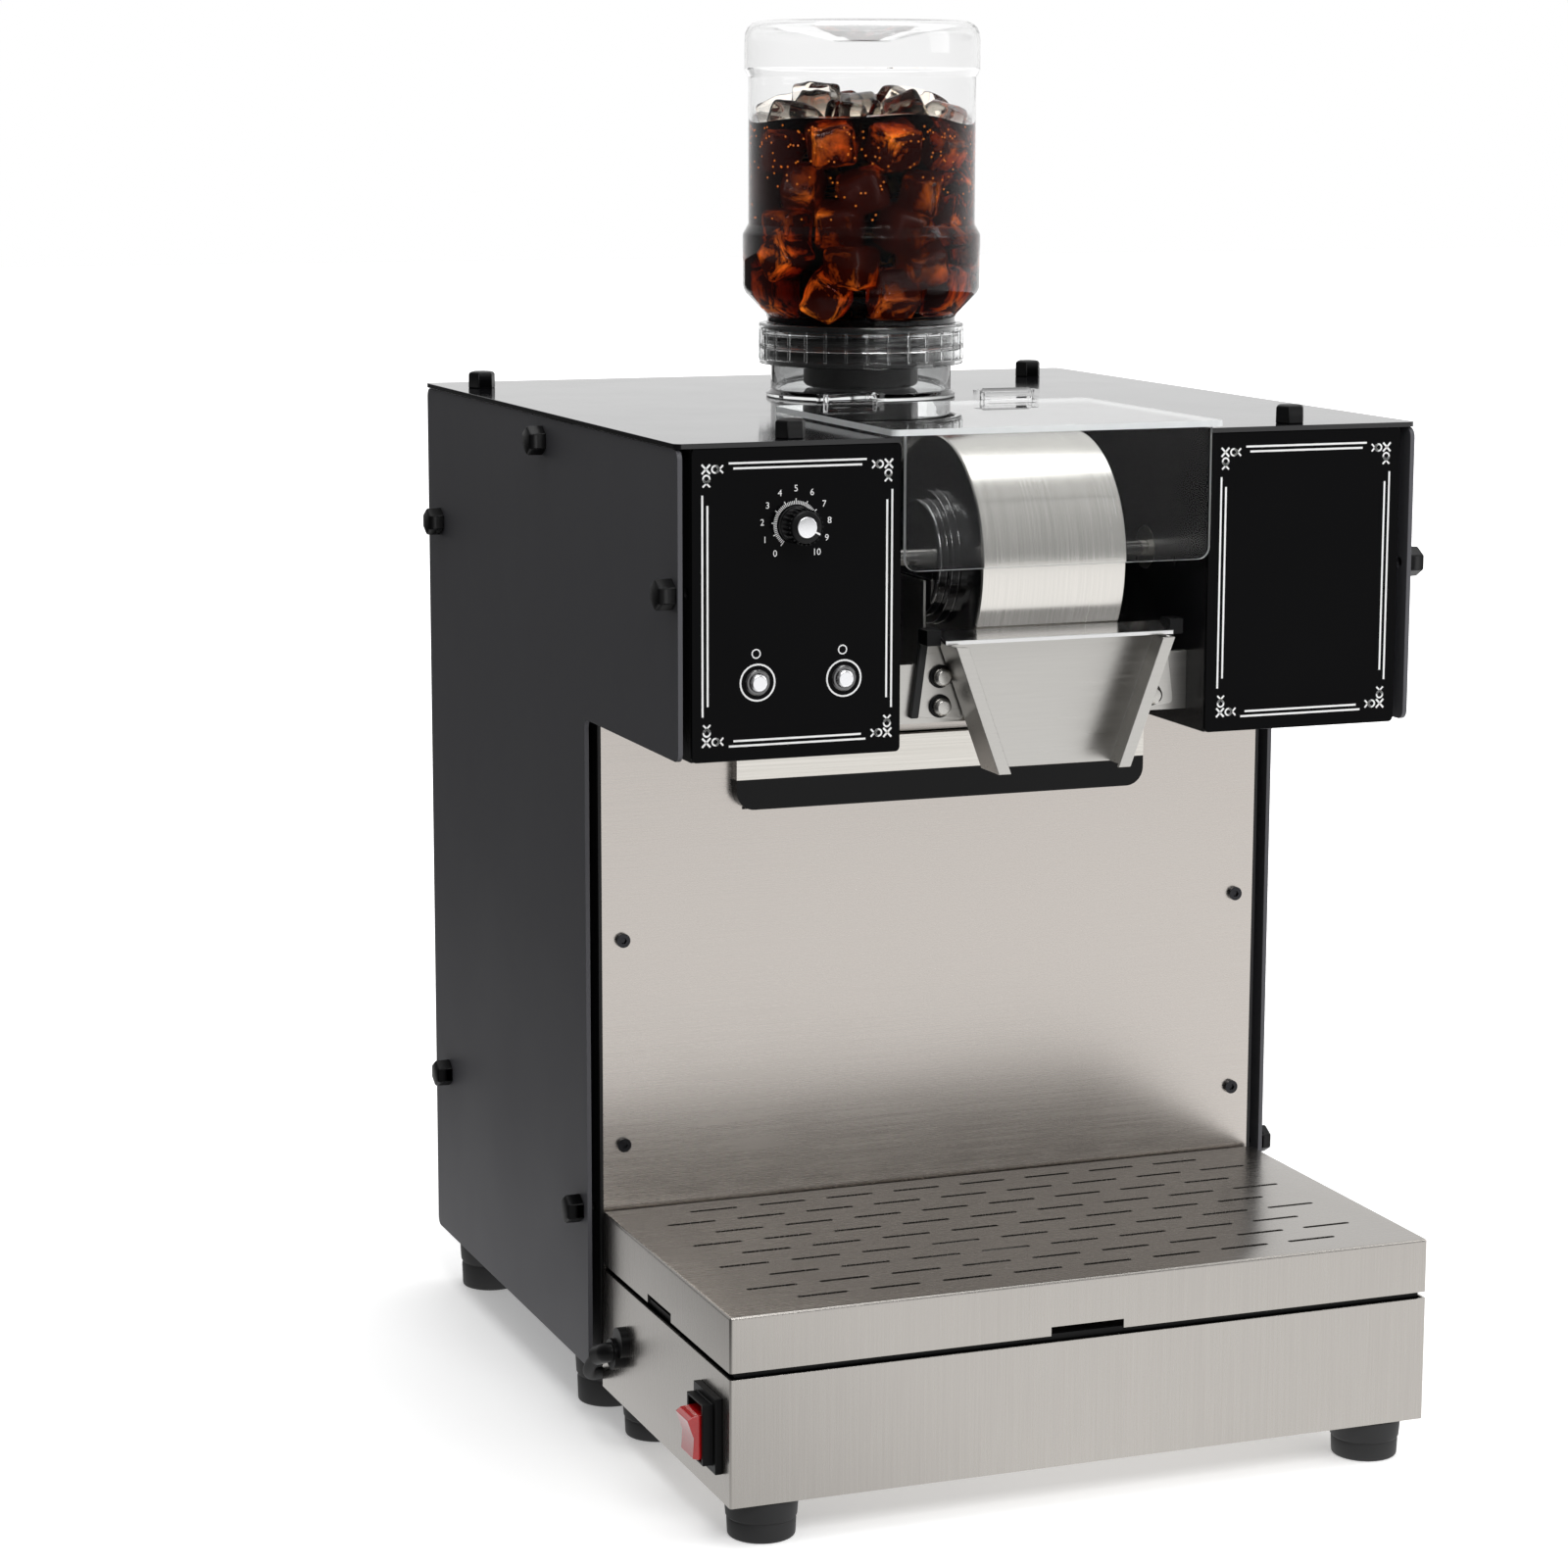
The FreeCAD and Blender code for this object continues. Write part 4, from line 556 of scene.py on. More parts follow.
def stamped(name, part, places, material, size=1.0, tumble=0.0, seed=1):
    """One plain mesh of a part's copies. The part is drawn round the origin and is used up."""
    mesh = bpy.data.meshes.new(name)
    mesh.from_pydata([place for place, _ in places], [], [])
    turns = mesh.attributes.new("turn", "FLOAT_VECTOR", "POINT")
    turns.data.foreach_set("vector", [angle for _, turn in places for angle in turn])
    host = placed(name + "_places", mesh)
    copier = host.modifiers.new("copies", "NODES")
    copier.node_group = STAMPING
    values = {"Part": part, "Size": size, "Tumble": tumble, "Seed": seed, "Finish": material}
    for socket in STAMPING.interface.items_tree:
        if socket.in_out == "INPUT" and socket.name in values:
            copier[socket.identifier] = values[socket.name]
    evaluated = host.evaluated_get(bpy.context.evaluated_depsgraph_get())
    result = bpy.data.meshes.new_from_object(evaluated)
    result.name = name
    host.modifiers.remove(copier)
    bpy.data.objects.remove(host)
    bpy.data.objects.remove(part)
    return placed(name, result)


def at_origin(made):
    """Move a freshly made part's mesh so that spot(0, 0, 0) becomes the origin, for stamping."""
    made.data.transform(Matrix.Translation(-spot(0, 0, 0)))
    return made


def baked(made):
    """Apply a part's live modifiers to its mesh."""
    evaluated = made.evaluated_get(bpy.context.evaluated_depsgraph_get())
    mesh = bpy.data.meshes.new_from_object(evaluated)
    made.modifiers.clear()
    made.data = mesh
    return made


# ---------------- parts kept from the model

# Each part's broken edge in millimetres.
EDGES = {
    "left_side_panel": 0.5, "right_side_panel": 0.5, "left_frame_wall": 0.3, "right_frame_wall": 0.3,
    "top_plate": 0.5, "left_head_box": 0.4, "right_head_box": 0.4, "left_front_panel": 0.35,
    "right_front_panel": 0.35, "back_plate": 0.3, "casing_screws": 0.35, "rear_panel": 0.3,
    "power_inlet": 0.5, "base_pan": 0.3, "bay_rear_wall": 0.3, "base_box": 0.4, "drip_pan": 0.4,
    "drip_cover": 0.3, "rocker_housing": 0.9, "rocker": 1.2, "link_glands": 1.1,
    "scraper_beam": 0.35, "scraper_ears": 0.35, "scraper_blade": 0.2,
    "blade_guides": 0.4, "chute": 0.35, "overflow_tray": 0.5, "tray_runners": 0.3, "control_board": 0.2,
    "drum_shell": 0, "drum_end_caps": 0.5, "drum_shaft": 0.3, "drum_bearings": 0.3, "drum_gear": 0.15,
    "motor_pinion": 0.15, "gear_motor": 0.6, "freezing_trough": 0.2, "rotary_union": 0.3,
    "guard_hinges": 0.3, "button_switches": 0.25, "left_button": 0.4, "right_button": 0.4,
    "compressor": 1.0, "condenser": 0, "fan_shroud": 0.5, "fan_blades": 0.4, "evaporator_tube": 0,
    "refrigerant_lines": 0, "feed_tube": 0,
}

# Parts whose own finish differs from the rest of their slot.
SPECIAL = {"back_plate": BRUSHED_ACROSS, "button_switches": ACETAL, "drum_bearings": GEAR_STEEL,
           "casing_screws": BLACK_SCREW, "guard_hinges": HINGE_RESIN}

for node_name, edge_width in EDGES.items():
    refined(node_name, edge_width, SPECIAL.get(node_name))


# ---------------- feet, thumb knobs and link lead

def rubber_feet():
    """Moulded feet, slightly tapered, with rounded rims and a ring groove."""
    made = []
    for low, places in ((17.1, ((135, -26.5), (135, 100))), (26.0, ((140, 150), (140, 330)))):
        for side in (-1, 1):
            for x, depth in places:
                corners = [(0, 0, 0), (13.6, 0, 1.2), (13.9, low * 0.4, 0), (13.5, low * 0.45, 0.3),
                           (14.3, low * 0.5, 0), (15, low - 0.2, 0.8), (0, low - 0.2, 0)]
                made.append(lathe("foot", rounded(corners), (x * side, depth, 0), around=48))
    return joined("rubber_feet_moulded", made)


def joined(name, parts):
    """Several fresh meshes as one object."""
    work = bmesh.new()
    for part in parts:
        work.from_mesh(part.data)
        bpy.data.objects.remove(part)
    return meshed(name, work)


dress(rubber_feet(), RUBBER, "root", "rubber", "rubber_feet")

SIDE_KNOBS = ((6, 371), (172, 417), (330, 367), (328, 106), (127, 94))
TOP_KNOBS = ((-109, 12), (109, 12), (-145, 312), (122, 300))


def hex_knob():
    """A hexagonal thumb knob: a flat flange ring, six soft sides and a domed top, along +Z."""
    corner = 11 / math.sqrt(3)
    rings = ((0, 1.0), (0.4, 1.0), (6.3, 0.985), (7.1, 0.9), (7.5, 0.7))
    points = []
    for height, share in rings:
        for step in range(6):
            angle = math.pi / 3 * step
            points.append((corner * share * math.cos(angle), corner * share * math.sin(angle), height))
    faces = [[ring * 6 + step, ring * 6 + (step + 1) % 6, ring * 6 + 6 + (step + 1) % 6, ring * 6 + 6 + step]
             for ring in range(len(rings) - 1) for step in range(6)]
    faces += [list(range(6)), list(range(len(points) - 6, len(points)))]
    return at_origin(baked(soften(smooth(solid("hex_knob", points, faces)), 0.5)))


def thumb_knobs():
    places = []
    for depth, height in SIDE_KNOBS:
        places.append((spot(-160, depth, height), (0, -math.pi / 2, 0)))
        places.append((spot(160, depth, height), (0, math.pi / 2, 0)))
    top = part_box("top_plate")[1].z * 1000
    places += [(spot(x, depth, top), (0, 0, 0)) for x, depth in TOP_KNOBS]
    return stamped("thumb_knobs_moulded", hex_knob(), places, NYLON)


dress(thumb_knobs(), NYLON, "root", "black_nylon", "thumb_knobs")

# The lead's route out of its boot, down past the side panel's edge and in under the base pan.
LEAD_ROUTE = ((-161.8, 99, 37.5), (-162.7, 105.8, 31.6), (-161.6, 112.8, 26.2), (-157.8, 119.8, 22),
              (-151.3, 125.7, 20.2), (-142.7, 128.5, 20.2))


def link_lead():
    curve = bpy.data.curves.new("link_lead_sheath", "CURVE")
    curve.dimensions = "3D"
    curve.bevel_depth = 0.0026
    curve.bevel_resolution = 6
    curve.use_fill_caps = True
    spline = curve.splines.new("NURBS")
    spline.points.add(len(LEAD_ROUTE) - 1)
    for point, place in zip(spline.points, LEAD_ROUTE):
        point.co = (*spot(*place), 1)
    spline.order_u = 3
    spline.use_endpoint_u = True
    made = placed("link_lead_sheath", curve)
    dress(made, RUBBER, "root", "rubber", "link_lead")


link_lead()


# ---------------- bottle, ice and drink

BOTTLE_DEPTH = 210
BOTTLE_AXIS = (0, BOTTLE_DEPTH, 0)
WALL = 1.4


def round_bottle(radius, angle, height):
    return spot(radius * math.cos(angle), BOTTLE_DEPTH + radius * math.sin(angle), height)


def bottle_skin():
    """The blown bottle upside down: neck, shoulder, wide band, waist, top band and dished base."""
    outer = [(41.8, 446, 0), (41.8, 465, 4), (52.5, 476, 7), (52.5, 500.5, 1.5), (50, 505, 1.5),
             (50, 568.5, 1.5), (51.7, 572, 1.5), (51.7, 593, 8.5), (38, 593, 3), (12, 585.2, 6), (0, 585, 0)]
    inner = [(0, 585 - WALL, 0), (12, 585.2 - WALL, 6), (38, 593 - WALL, 3), (51.7 - WALL, 593 - WALL, 7.2),
             (51.7 - WALL, 572.4, 1.5), (50 - WALL, 568.8, 1.5), (50 - WALL, 505.4, 1.5),
             (52.5 - WALL, 500.8, 1.5), (52.5 - WALL, 476.4, 6), (41.8 - WALL, 465.4, 4),
             (41.8 - WALL, 446, 0)]
    return lathe("bottle_blown", rounded(outer + inner), BOTTLE_AXIS, around=128)


def wavy_level(radius, along, angle):
    """The drink's top is lower at the middle and lifts in soft waves against the ice."""
    if along < 549:
        return 0
    wave = 1.6 * math.sin(3 * angle + 0.7) + 1.1 * math.sin(5 * angle + 2.1)
    return (radius / 48) ** 2 * (2.4 + wave) - 2.5


def drink_body():
    inset = WALL - 0.12
    corners = [(0, 454.2, 0), (41.8 - inset, 454.2, 0), (41.8 - inset, 465.4, 4), (52.5 - inset, 476.4, 6),
               (52.5 - inset, 500.8, 1.5), (50 - inset, 505.4, 1.5), (50 - inset, 545, 0),
               (50 - inset, 551, 0),
               (46, 552, 0), (38, 552, 0), (30, 552, 0), (20, 552, 0), (10, 552, 0), (0, 552, 0)]
    return lathe("drink_poured", rounded(corners), BOTTLE_AXIS, around=128, ruffle=wavy_level)


def ice_cube():
    """A machine-made cube with melted corners and slightly hollow sides."""
    cube = at_origin(block("ice_cube", (-9.3, 9.3), (-8.6, 8.6), (-9.8, 9.8)))
    soft = cube.modifiers.new("melt", "BEVEL")
    soft.width = 0.0036
    soft.segments = 4
    grid = cube.modifiers.new("grid", "SUBSURF")
    grid.levels = grid.render_levels = 1
    baked(cube)
    for vert in cube.data.vertices:
        vert.co *= 1 + 0.05 * math.sin(vert.co.x * 420) * math.cos(vert.co.z * 380 + vert.co.y * 300)
    return smooth(cube, 80)


def ring_of_cubes(rings, seed):
    """Cubes in rings round the bottle's axis, each ring given as (height, count, radius, first angle)."""
    pick = random.Random(seed)
    places = []
    for height, count, radius, start in rings:
        for step in range(count):
            angle = start + 2 * math.pi * step / count
            place = round_bottle(radius, angle, height + pick.uniform(-2.5, 2.5))
            places.append((place, (pick.uniform(0, 6.28), pick.uniform(0, 6.28), angle)))
    return places


# Clear cubes float half out of the drink, and stained ones crowd under them down to the waist.
FLOATING = ((550, 8, 35.5, 0.2), (551, 5, 16, 0.5), (556, 2, 30, 3.6))
SUNKEN = ((538, 9, 36.8, 0.5), (521, 9, 36.8, 0.15), (505, 9, 37, 0.6), (490, 8, 39.5, 0.3), (477, 8, 36, 0))
BUBBLES, BUBBLE_RING, BUBBLE_TOP = 360, 47.9, 548


def bubble_places():
    """Small bubbles gathered against the wall under the drink's surface."""
    pick = random.Random(5)
    places = []
    for _ in range(BUBBLES):
        angle = pick.uniform(0, 2 * math.pi)
        height = BUBBLE_TOP - min(abs(pick.gauss(0, 17)), 40)
        places.append((round_bottle(BUBBLE_RING, angle, height), (0, 0, 0)))
    return places


def bead():
    work = bmesh.new()
    bmesh.ops.create_icosphere(work, subdivisions=2, radius=0.00045)
    return smooth(meshed("bead", work), 80)


dress(bottle_skin(), PET, "bottle", "clear_bottle", "bottle")
dress(drink_body(), DRINK, "bottle", "drink", "drink")
dress(stamped("floating_ice", ice_cube(), ring_of_cubes(FLOATING, 11), ICE, tumble=0.1, seed=3), ICE,
      "bottle", "clear_bottle")
dress(stamped("sunken_ice", ice_cube(), ring_of_cubes(SUNKEN, 4), SUNK_ICE, tumble=0.1, seed=5), SUNK_ICE,
      "bottle", "drink")
dress(stamped("drink_bubbles", bead(), bubble_places(), BUBBLE), BUBBLE, "bottle", "drink")


def valve_cap():
    corners = [(0, 433, 0), (24.6, 433, 0), (25.6, 434, 0.5), (25.6, 444, 0), (41.8, 444, 0.5),
               (41.8, 446, 0), (40.2, 446, 0), (40.2, 454, 0.5), (0, 454, 0)]
    return lathe("bottle_cap_moulded", rounded(corners), BOTTLE_AXIS)


def threaded_ring():
    """The clear ring with its two thread turns showing as bands inside."""
    corners = [(42.2, 444, 0.2), (45.2, 444, 0.6), (45.2, 446, 0.4), (44.3, 446.6, 0.2), (44.3, 450.4, 0.2),
               (45.2, 451, 0.4), (45.2, 452.6, 0.4), (44.3, 453.2, 0.2), (44.3, 458, 0.2), (45.4, 458.8, 0.4),
               (45.4, 461.8, 0.8), (42.2, 461.8, 0.2), (42.2, 458, 0.3), (42.9, 457.2, 0.3),
               (42.2, 456.4, 0.3), (42.2, 452, 0.3), (42.9, 451.2, 0.3), (42.2, 450.4, 0.3)]
    return lathe("collar_ring", rounded(corners, 3), BOTTLE_AXIS, around=128)


RIBS = 30


def ring_ribs():
    """Upright grip ribs round the ring, about 9.5 mm apart."""
    rib = at_origin(baked(soften(block("rib", (-0.6, 0.45), (-0.7, 0.7), (-7, 7)), 0.35)))
    angles = [2 * math.pi * step / RIBS for step in range(RIBS)]
    places = [(round_bottle(45, angle, 452.6), (0, 0, angle)) for angle in angles]
    return stamped("collar_ribs", rib, places, CLEAR_RING)


def seat_cup():
    """The clear cup on the top plate that the valve cap hangs in, with its spigot."""
    corners = [(3.2, 415.3, 0), (6, 415.3, 0.5), (6, 429.5, 0), (42, 429.5, 0.3), (42, 431.1, 0.6),
               (40, 432.5, 1), (40, 443.7, 0.6), (38.2, 443.7, 0.6), (38.2, 432.5, 1), (37.4, 431.7, 0),
               (3.2, 431.7, 0)]
    return lathe("seat_cup_moulded", rounded(corners), BOTTLE_AXIS)


dress(valve_cap(), NYLON, "bottle", "black_nylon", "bottle_cap")
dress(threaded_ring(), CLEAR_RING, "bottle", "clear_bottle", "bottle_collar")
dress(ring_ribs(), CLEAR_RING, "bottle", "clear_bottle")
dress(seat_cup(), CLEAR_RING, "root", "clear_bottle", "bottle_seat")


# ---------------- guard

def sheet_cut(name, outline, to_place, thick):
    """A cut sheet from its flat outline, with clear faces and frosted sawn edges painted pale as highlight
    lines.
    """
    made = solid(name, [to_place(*corner) for corner in outline], [list(range(len(outline)))])
    wall = made.modifiers.new("sheet", "SOLIDIFY")
    wall.thickness = thick / 1000
    wall.offset = 0
    # The rim faces take the frosted edge finish, which is painted pale as a highlight.
    wall.material_offset_rim = 1
    made.data.materials.append(ACRYLIC)
    made.data.materials.append(FROSTED_EDGE_AND_HIGHLIGHT)
    return baked(made)


def corner_arc(x, y, radius, start):
    """A quarter round corner of an outline, from a start angle in quarter turns."""
    return [(x + radius * math.cos(math.pi / 2 * (start + step / 6)),
             y + radius * math.sin(math.pi / 2 * (start + step / 6))) for step in range(7)]


SHEET = 2.5
GUARD_TOP = 432.5


def guard_sheets():
    """Two acrylic sheets glued square: one hangs in front of the drum and one covers the bay."""
    half = SHEET / 2
    hanging = (corner_arc(-61.3, 381.8, 5, 2) + corner_arc(61.3, 381.8, 5, 3) + [(66.3, 430), (-66.3, 430)])
    cover = (corner_arc(-69, 0, 3, 2) + corner_arc(69, 0, 3, 3) + corner_arc(69, 125, 3, 0)
             + corner_arc(-69, 125, 3, 1))
    return joined("guard_glued", [sheet_cut("hanging", hanging, lambda x, z: (x, half - 3, z), SHEET),
                                  sheet_cut("cover", cover, lambda x, y: (x, y, GUARD_TOP - half), SHEET)])


def guard_knuckles():
    parts = []
    for x in (-36, 36):
        ring = [(1.55, -11), (2.9, -11), (3.2, -10.7), (3.2, 10.7), (2.9, 11), (1.55, 11)]
        parts.append(lathe("barrel", ring, (x, 132, 434), axis="x", around=32))
        parts.append(block("leaf", (x - 11, x + 11), (124, 129.6), (432.5, 434)))
    return joined("guard_knuckles", parts)


dress(guard_sheets(), (ACRYLIC, FROSTED_EDGE_AND_HIGHLIGHT), "guard", "acrylic", "guard")
dress(soften(guard_knuckles(), 0.2), HINGE_RESIN, "guard", "acrylic")


# ---------------- scraper bolts and seal

SCRAPER_X = 3.2
EAR_FACE = 15.5
BOLT_SPAN = 46.7
BOLT_HEIGHTS = (332, 320)


def ear_bolts():
    """Round-headed bolts on the ears, two to a side, with broad dark washers behind them."""
    head = [(0, -4.9, 0), (2.6, -4.9, 0.5), (3.6, -4.0, 0.6), (3.6, -1, 0.2), (1.5, -1, 0), (1.5, 5.5, 0),
            (0, 5.5, 0)]
    washer = [(1.5, -1, 0), (4.7, -1, 0.3), (4.7, 0, 0.2), (1.5, 0, 0)]
    places = [(spot(SCRAPER_X + side * BOLT_SPAN, EAR_FACE, height), (0, 0, 0))
              for side in (-1, 1) for height in BOLT_HEIGHTS]
    for name, profile, material, slot, old in (
            ("ear_bolt_heads", head, SCREW_STEEL, "fastener_steel", ("ear_bolts",)),
            ("ear_washers", washer, NYLON, "black_nylon", ())):
        part = at_origin(lathe(name + "_one", rounded(profile, 3), (0, 0, 0), axis="y", around=32))
        dress(smooth(stamped(name, part, places, material)), material, "root", slot, *old)


def ear_seal():
    """The rubber strip pressed over the left ear's outer edge."""
    top, low = (SCRAPER_X - 54.4, 345.8), (SCRAPER_X - 58.4, 315.6)
    points = [(x + out, depth, height)
              for x, height in (low, top) for out in (-1.2, 2.2) for depth in (14.2, 17.4)]
    return soften(smooth(solid("ear_seal", points, SIX_FACES)), 0.6, 3)


ear_bolts()
dress(ear_seal(), RUBBER, "root", "rubber")


# ---------------- dial and printing

DIAL = (-111.1, 0, 396.8)
KNURLS, KNURL_RING = 24, 6.85
DIAL_SWEEP, POINTER = 142, 118


def dial_grip():
    corners = [(0, 9, 0), (3, 9, 0), (3, -0.3, 0), (7.5, -0.3, 0.3), (7.4, -2.3, 0.4), (7.2, -2.8, 0.2),
               (6.4, -11.4, 0.8), (4.4, -11.8, 0), (4.3, -11.3, 0), (0, -11.3, 0)]
    return lathe("dial_grip", rounded(corners), DIAL, axis="y", around=64)


def dial_cap():
    corners = [(0, -11.2, 0), (4.1, -11.2, 0), (4.1, -12.4, 0.4), (0, -12.4, 0)]
    return lathe("dial_cap", rounded(corners), DIAL, axis="y", around=48)


def dial_knurls():
    """Fine upright knurls round the grip, 24 to a turn."""
    rib = at_origin(block("knurl", (-0.35, 0.35), (-4.2, 4.2), (-0.25, 0.3)))
    places = []
    for step in range(KNURLS):
        angle = 2 * math.pi * step / KNURLS
        place = spot(DIAL[0] + KNURL_RING * math.sin(angle), -7, DIAL[2] + KNURL_RING * math.cos(angle))
        places.append((place, (0, angle, 0)))
    return stamped("dial_knurls", rib, places, PHENOLIC)


def dial_pointer():
    """The white line on the grip that points at the scale."""
    made = at_origin(block("dial_pointer", (-0.35, 0.35), (-12, -11.2), (3.7, 6.2)))
    made.data.transform(Matrix.Translation(spot(*DIAL)) @ Matrix.Rotation(math.radians(POINTER), 4, "Y"))
    return made


def flat_print(name, outlines, material=PRINT_INK):
    """Printed shapes on the front faces: flat outlines of (x, height), given the ink's thickness."""
    points, faces = [], []
    for outline in outlines:
        faces.append(list(range(len(points), len(points) + len(outline))))
        points += [(x, -0.02, height) for x, height in outline]
    mesh = bpy.data.meshes.new(name)
    mesh.from_pydata([spot(*point) for point in points], [], faces)
    for polygon in mesh.polygons:
        if polygon.normal.y > 0:
            polygon.flip()
    made = placed(name, mesh)
    ink = made.modifiers.new("ink", "SOLIDIFY")
    ink.thickness = 0.00004
    ink.offset = 1
    return made


def stroke(start, end, width):
    """A straight printed line as a flat outline."""
    start, end = Vector(start), Vector(end)
    along = (end - start).normalized() * width / 2
    side = Vector((-along.y, along.x))
    return [tuple(start - side), tuple(end - side), tuple(end + side), tuple(start + side)]


def hoop(x, height, radius, width, steps=24):
    """A printed ring, as a run of short outlines."""
    outlines = []
    for step in range(steps):
        turn = [2 * math.pi * (step + end) / steps for end in (0, 1)]
        outlines.append([(x + r * math.sin(a), height + r * math.cos(a))
                         for r, a in ((radius - width / 2, turn[0]), (radius - width / 2, turn[1]),
                                      (radius + width / 2, turn[1]), (radius + width / 2, turn[0]))])
    return outlines


def corner_mark(x, height, across, upward):
    """A crossing at the panel's corner, with a knotted loop beside it along each edge."""
    def put(along, inward, swap=False):
        along, inward = (inward, along) if swap else (along, inward)
        return x + across * along, height + upward * inward

    shapes = [stroke(put(0.2, 0.2), put(3.6, 3.8), 0.8), stroke(put(0.2, 3.8), put(3.6, 0.2), 0.8)]
    for swap in (False, True):
        shapes.append(stroke(put(6.0, 0.7, swap), put(8.9, 3.6, swap), 0.7))
        shapes.append(stroke(put(6.0, 3.5, swap), put(8.9, 0.6, swap), 0.7))
        shapes += hoop(*put(5.7, 2.1, swap), 1.35, 0.7, 14)
    return shapes


def panel_border(left, right, low, high):
    """A double line round a panel, the inner line shorter, with a mark at each corner."""
    shapes = []
    for height, inward in ((low, 1), (high, -1)):
        shapes.append(stroke((left + 11.2, height), (right - 11.2, height), 0.8))
        shapes.append(stroke((left + 13.1, height + inward * 2), (right - 13.1, height + inward * 2), 0.8))
    for x, inward in ((left + 0.4, 1), (right - 0.4, -1)):
        shapes.append(stroke((x, low + 12), (x, high - 12), 0.8))
        shapes.append(stroke((x + inward * 2.1, low + 16), (x + inward * 2.1, high - 16), 0.8))
    for x, across in ((left, 1), (right, -1)):
        for height, upward in ((low, 1), (high, -1)):
            shapes += corner_mark(x, height, across, upward)
    return shapes


def dial_scale():
    """A ring of fine ticks round the dial, 142 degrees to each side of the top."""
    shapes = []
    for step in range(61):
        angle = math.radians(DIAL_SWEEP * (step / 30 - 1))
        inner, outer = 7.9, 10.2 if step % 6 == 0 else 9.3
        shapes.append(stroke((DIAL[0] + inner * math.sin(angle), DIAL[2] + inner * math.cos(angle)),
                             (DIAL[0] + outer * math.sin(angle), DIAL[2] + outer * math.cos(angle)), 0.34))
    return shapes


def dial_numbers():
    """The numbers 0 to 10 round the scale."""
    meshes = []
    for number in range(11):
        text = bpy.data.curves.new("number", "FONT")
        text.body = str(number)
        text.size = 0.0036
        text.align_x = text.align_y = "CENTER"
        text.extrude = 0.00002
        made = placed("number", text)
        mesh = bpy.data.meshes.new_from_object(made.evaluated_get(bpy.context.evaluated_depsgraph_get()))
        bpy.data.objects.remove(made)
        angle = math.radians(DIAL_SWEEP * (number / 5 - 1))
        place = spot(DIAL[0] + 14 * math.sin(angle), -0.04, DIAL[2] + 14 * math.cos(angle))
        mesh.transform(Matrix.Translation(place) @ Matrix.Rotation(math.pi / 2, 4, "X"))
        meshes.append(placed("number", mesh))
    return joined("dial_numbers", meshes)


BUTTONS = (-126.9, -90.9)
left_print = panel_border(-150, -70.5, 311.3, 421.3) + dial_scale()
for button_x in BUTTONS:
    left_print += hoop(button_x, 335.8, 7.1, 0.7, 32) + hoop(button_x - 0.6, 347.1, 1.7, 0.5, 16)
dress(flat_print("left_panel_print", left_print), PRINT_INK, "root", "gloss_panel")
dress(flat_print("right_panel_print", panel_border(72, 149.5, 311.3, 421.3)), PRINT_INK, "root",
      "gloss_panel")
dress(dial_numbers(), PRINT_INK, "root", "gloss_panel")
dress(dial_grip(), PHENOLIC, "dial", "dial_plastic", "dial_knob")
dress(dial_knurls(), PHENOLIC, "dial", "dial_plastic")
dress(dial_cap(), CHROME, "dial", "button_chrome")
dress(dial_pointer(), PRINT_INK, "dial", "dial_plastic")


# ---------------- studio

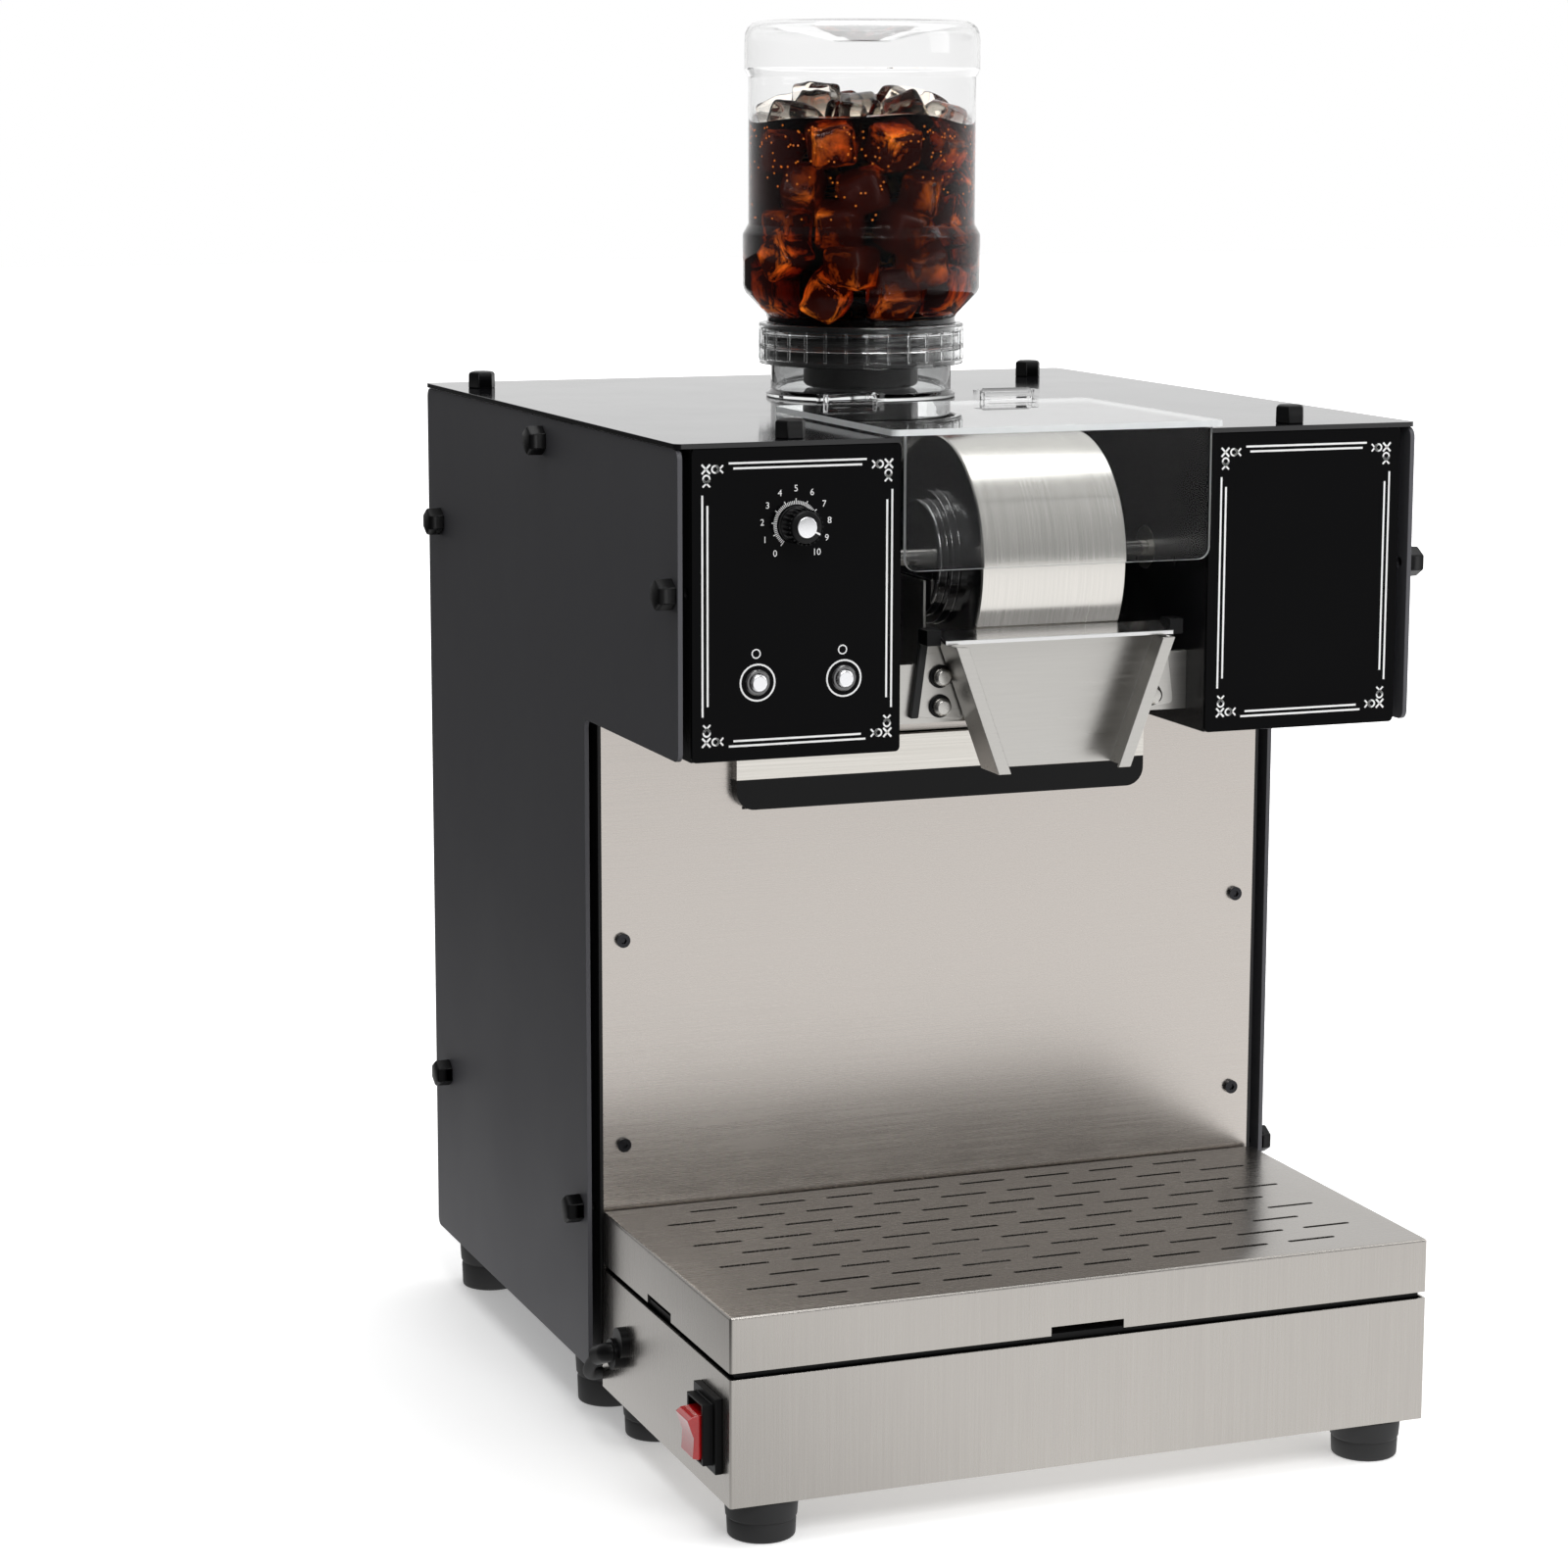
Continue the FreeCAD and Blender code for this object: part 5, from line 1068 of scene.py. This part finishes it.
def studio():
    """A plain pale floor that glows, its glow weaker near the machine as painted shade, a white surround that
    darkens to the front and the left, and soft lights.
    """
    floor = block("floor", (-9000, 9000), (-6000, 12000), (-20, 0))
    material, tree, shader = finish("pale_floor_paper", "#f4f4f4", 0.9, Specular_IOR_Level=0.1)
    place = add(tree, "ShaderNodeTexCoord").outputs["Object"]
    tones(tree, shader, noise(tree, place, 2.5), "#f2f2f2", "#f6f6f6", (0.8, 0.95))
    shader.inputs["Emission Color"].default_value = (1, 1, 1, 1)
    # Painted light: the paper glows, fully white far off and weakly near the machine, which paints shade
    # round the machine.
    away = add(tree, "ShaderNodeVectorMath", {0: place}, operation="LENGTH")
    floor_glow_dim_near_machine = ranged(tree, away.outputs["Value"], 0.2, 1.6, 0.3)
    tree.links.new(floor_glow_dim_near_machine, shader.inputs["Emission Strength"])
    # What the machine mirrors of the floor is dimmer at its left, where a flag shades the paper.
    way = add(tree, "ShaderNodeSeparateXYZ", {0: place})
    flag = ranged(tree, way.outputs["X"], -0.5, 0.0, 0.05, 1.25)
    dim = add(tree, "ShaderNodeEmission", {"Color": (1, 1, 1, 1), "Strength": flag})
    seen = add(tree, "ShaderNodeLightPath").outputs["Is Camera Ray"]
    both = add(tree, "ShaderNodeMixShader", {0: seen, 1: dim.outputs[0], 2: shader.outputs[0]})
    tree.links.new(both.outputs[0], tree.nodes["Material Output"].inputs["Surface"])
    floor.data.materials.append(material)

    world = bpy.data.worlds.new("studio")
    bpy.context.scene.world = world
    world.use_nodes = True
    tree = world.node_tree
    tree.nodes.clear()
    way = add(tree, "ShaderNodeSeparateXYZ", {0: add(tree, "ShaderNodeTexCoord").outputs["Generated"]})
    ahead = ranged(tree, way.outputs["Y"], -0.9, 0.25, 0.42, 0.95)
    aside = ranged(tree, way.outputs["X"], -0.8, 0.1, 0.24)
    level = add(tree, "ShaderNodeMath", {0: ahead, 1: aside}, operation="MULTIPLY")
    room = add(tree, "ShaderNodeBackground", {"Color": (1, 1, 1, 1), "Strength": level.outputs[0]})
    paper = add(tree, "ShaderNodeBackground", {"Color": (1, 1, 1, 1), "Strength": 1.0})
    seen = add(tree, "ShaderNodeLightPath").outputs["Is Camera Ray"]
    sky = add(tree, "ShaderNodeMixShader", {0: seen, 1: room.outputs[0], 2: paper.outputs[0]})
    add(tree, "ShaderNodeOutputWorld", {"Surface": sky.outputs[0]})

    for name, place, aim, size, power in (
            ("key_panel", (-0.15, -2.0, 1.8), (0, 0, 0.3), (1.2, 0.9), 24),
            ("fill_panel", (1.6, -0.9, 1.2), (0, 0, 0.3), (0.9, 1.2), 10),
            ("top_panel", (0.1, 0.1, 2.2), (0, 0, 0.2), (1.6, 1.6), 20)):
        light = bpy.data.lights.new(name, "AREA")
        light.shape = "RECTANGLE"
        light.size, light.size_y = size
        light.energy = power
        lamp = placed(name, light)
        lamp.location = place
        lamp.rotation_euler = (Vector(aim) - Vector(place)).to_track_quat("-Z", "Y").to_euler()
    bpy.context.scene.view_settings.view_transform = "Standard"


studio()
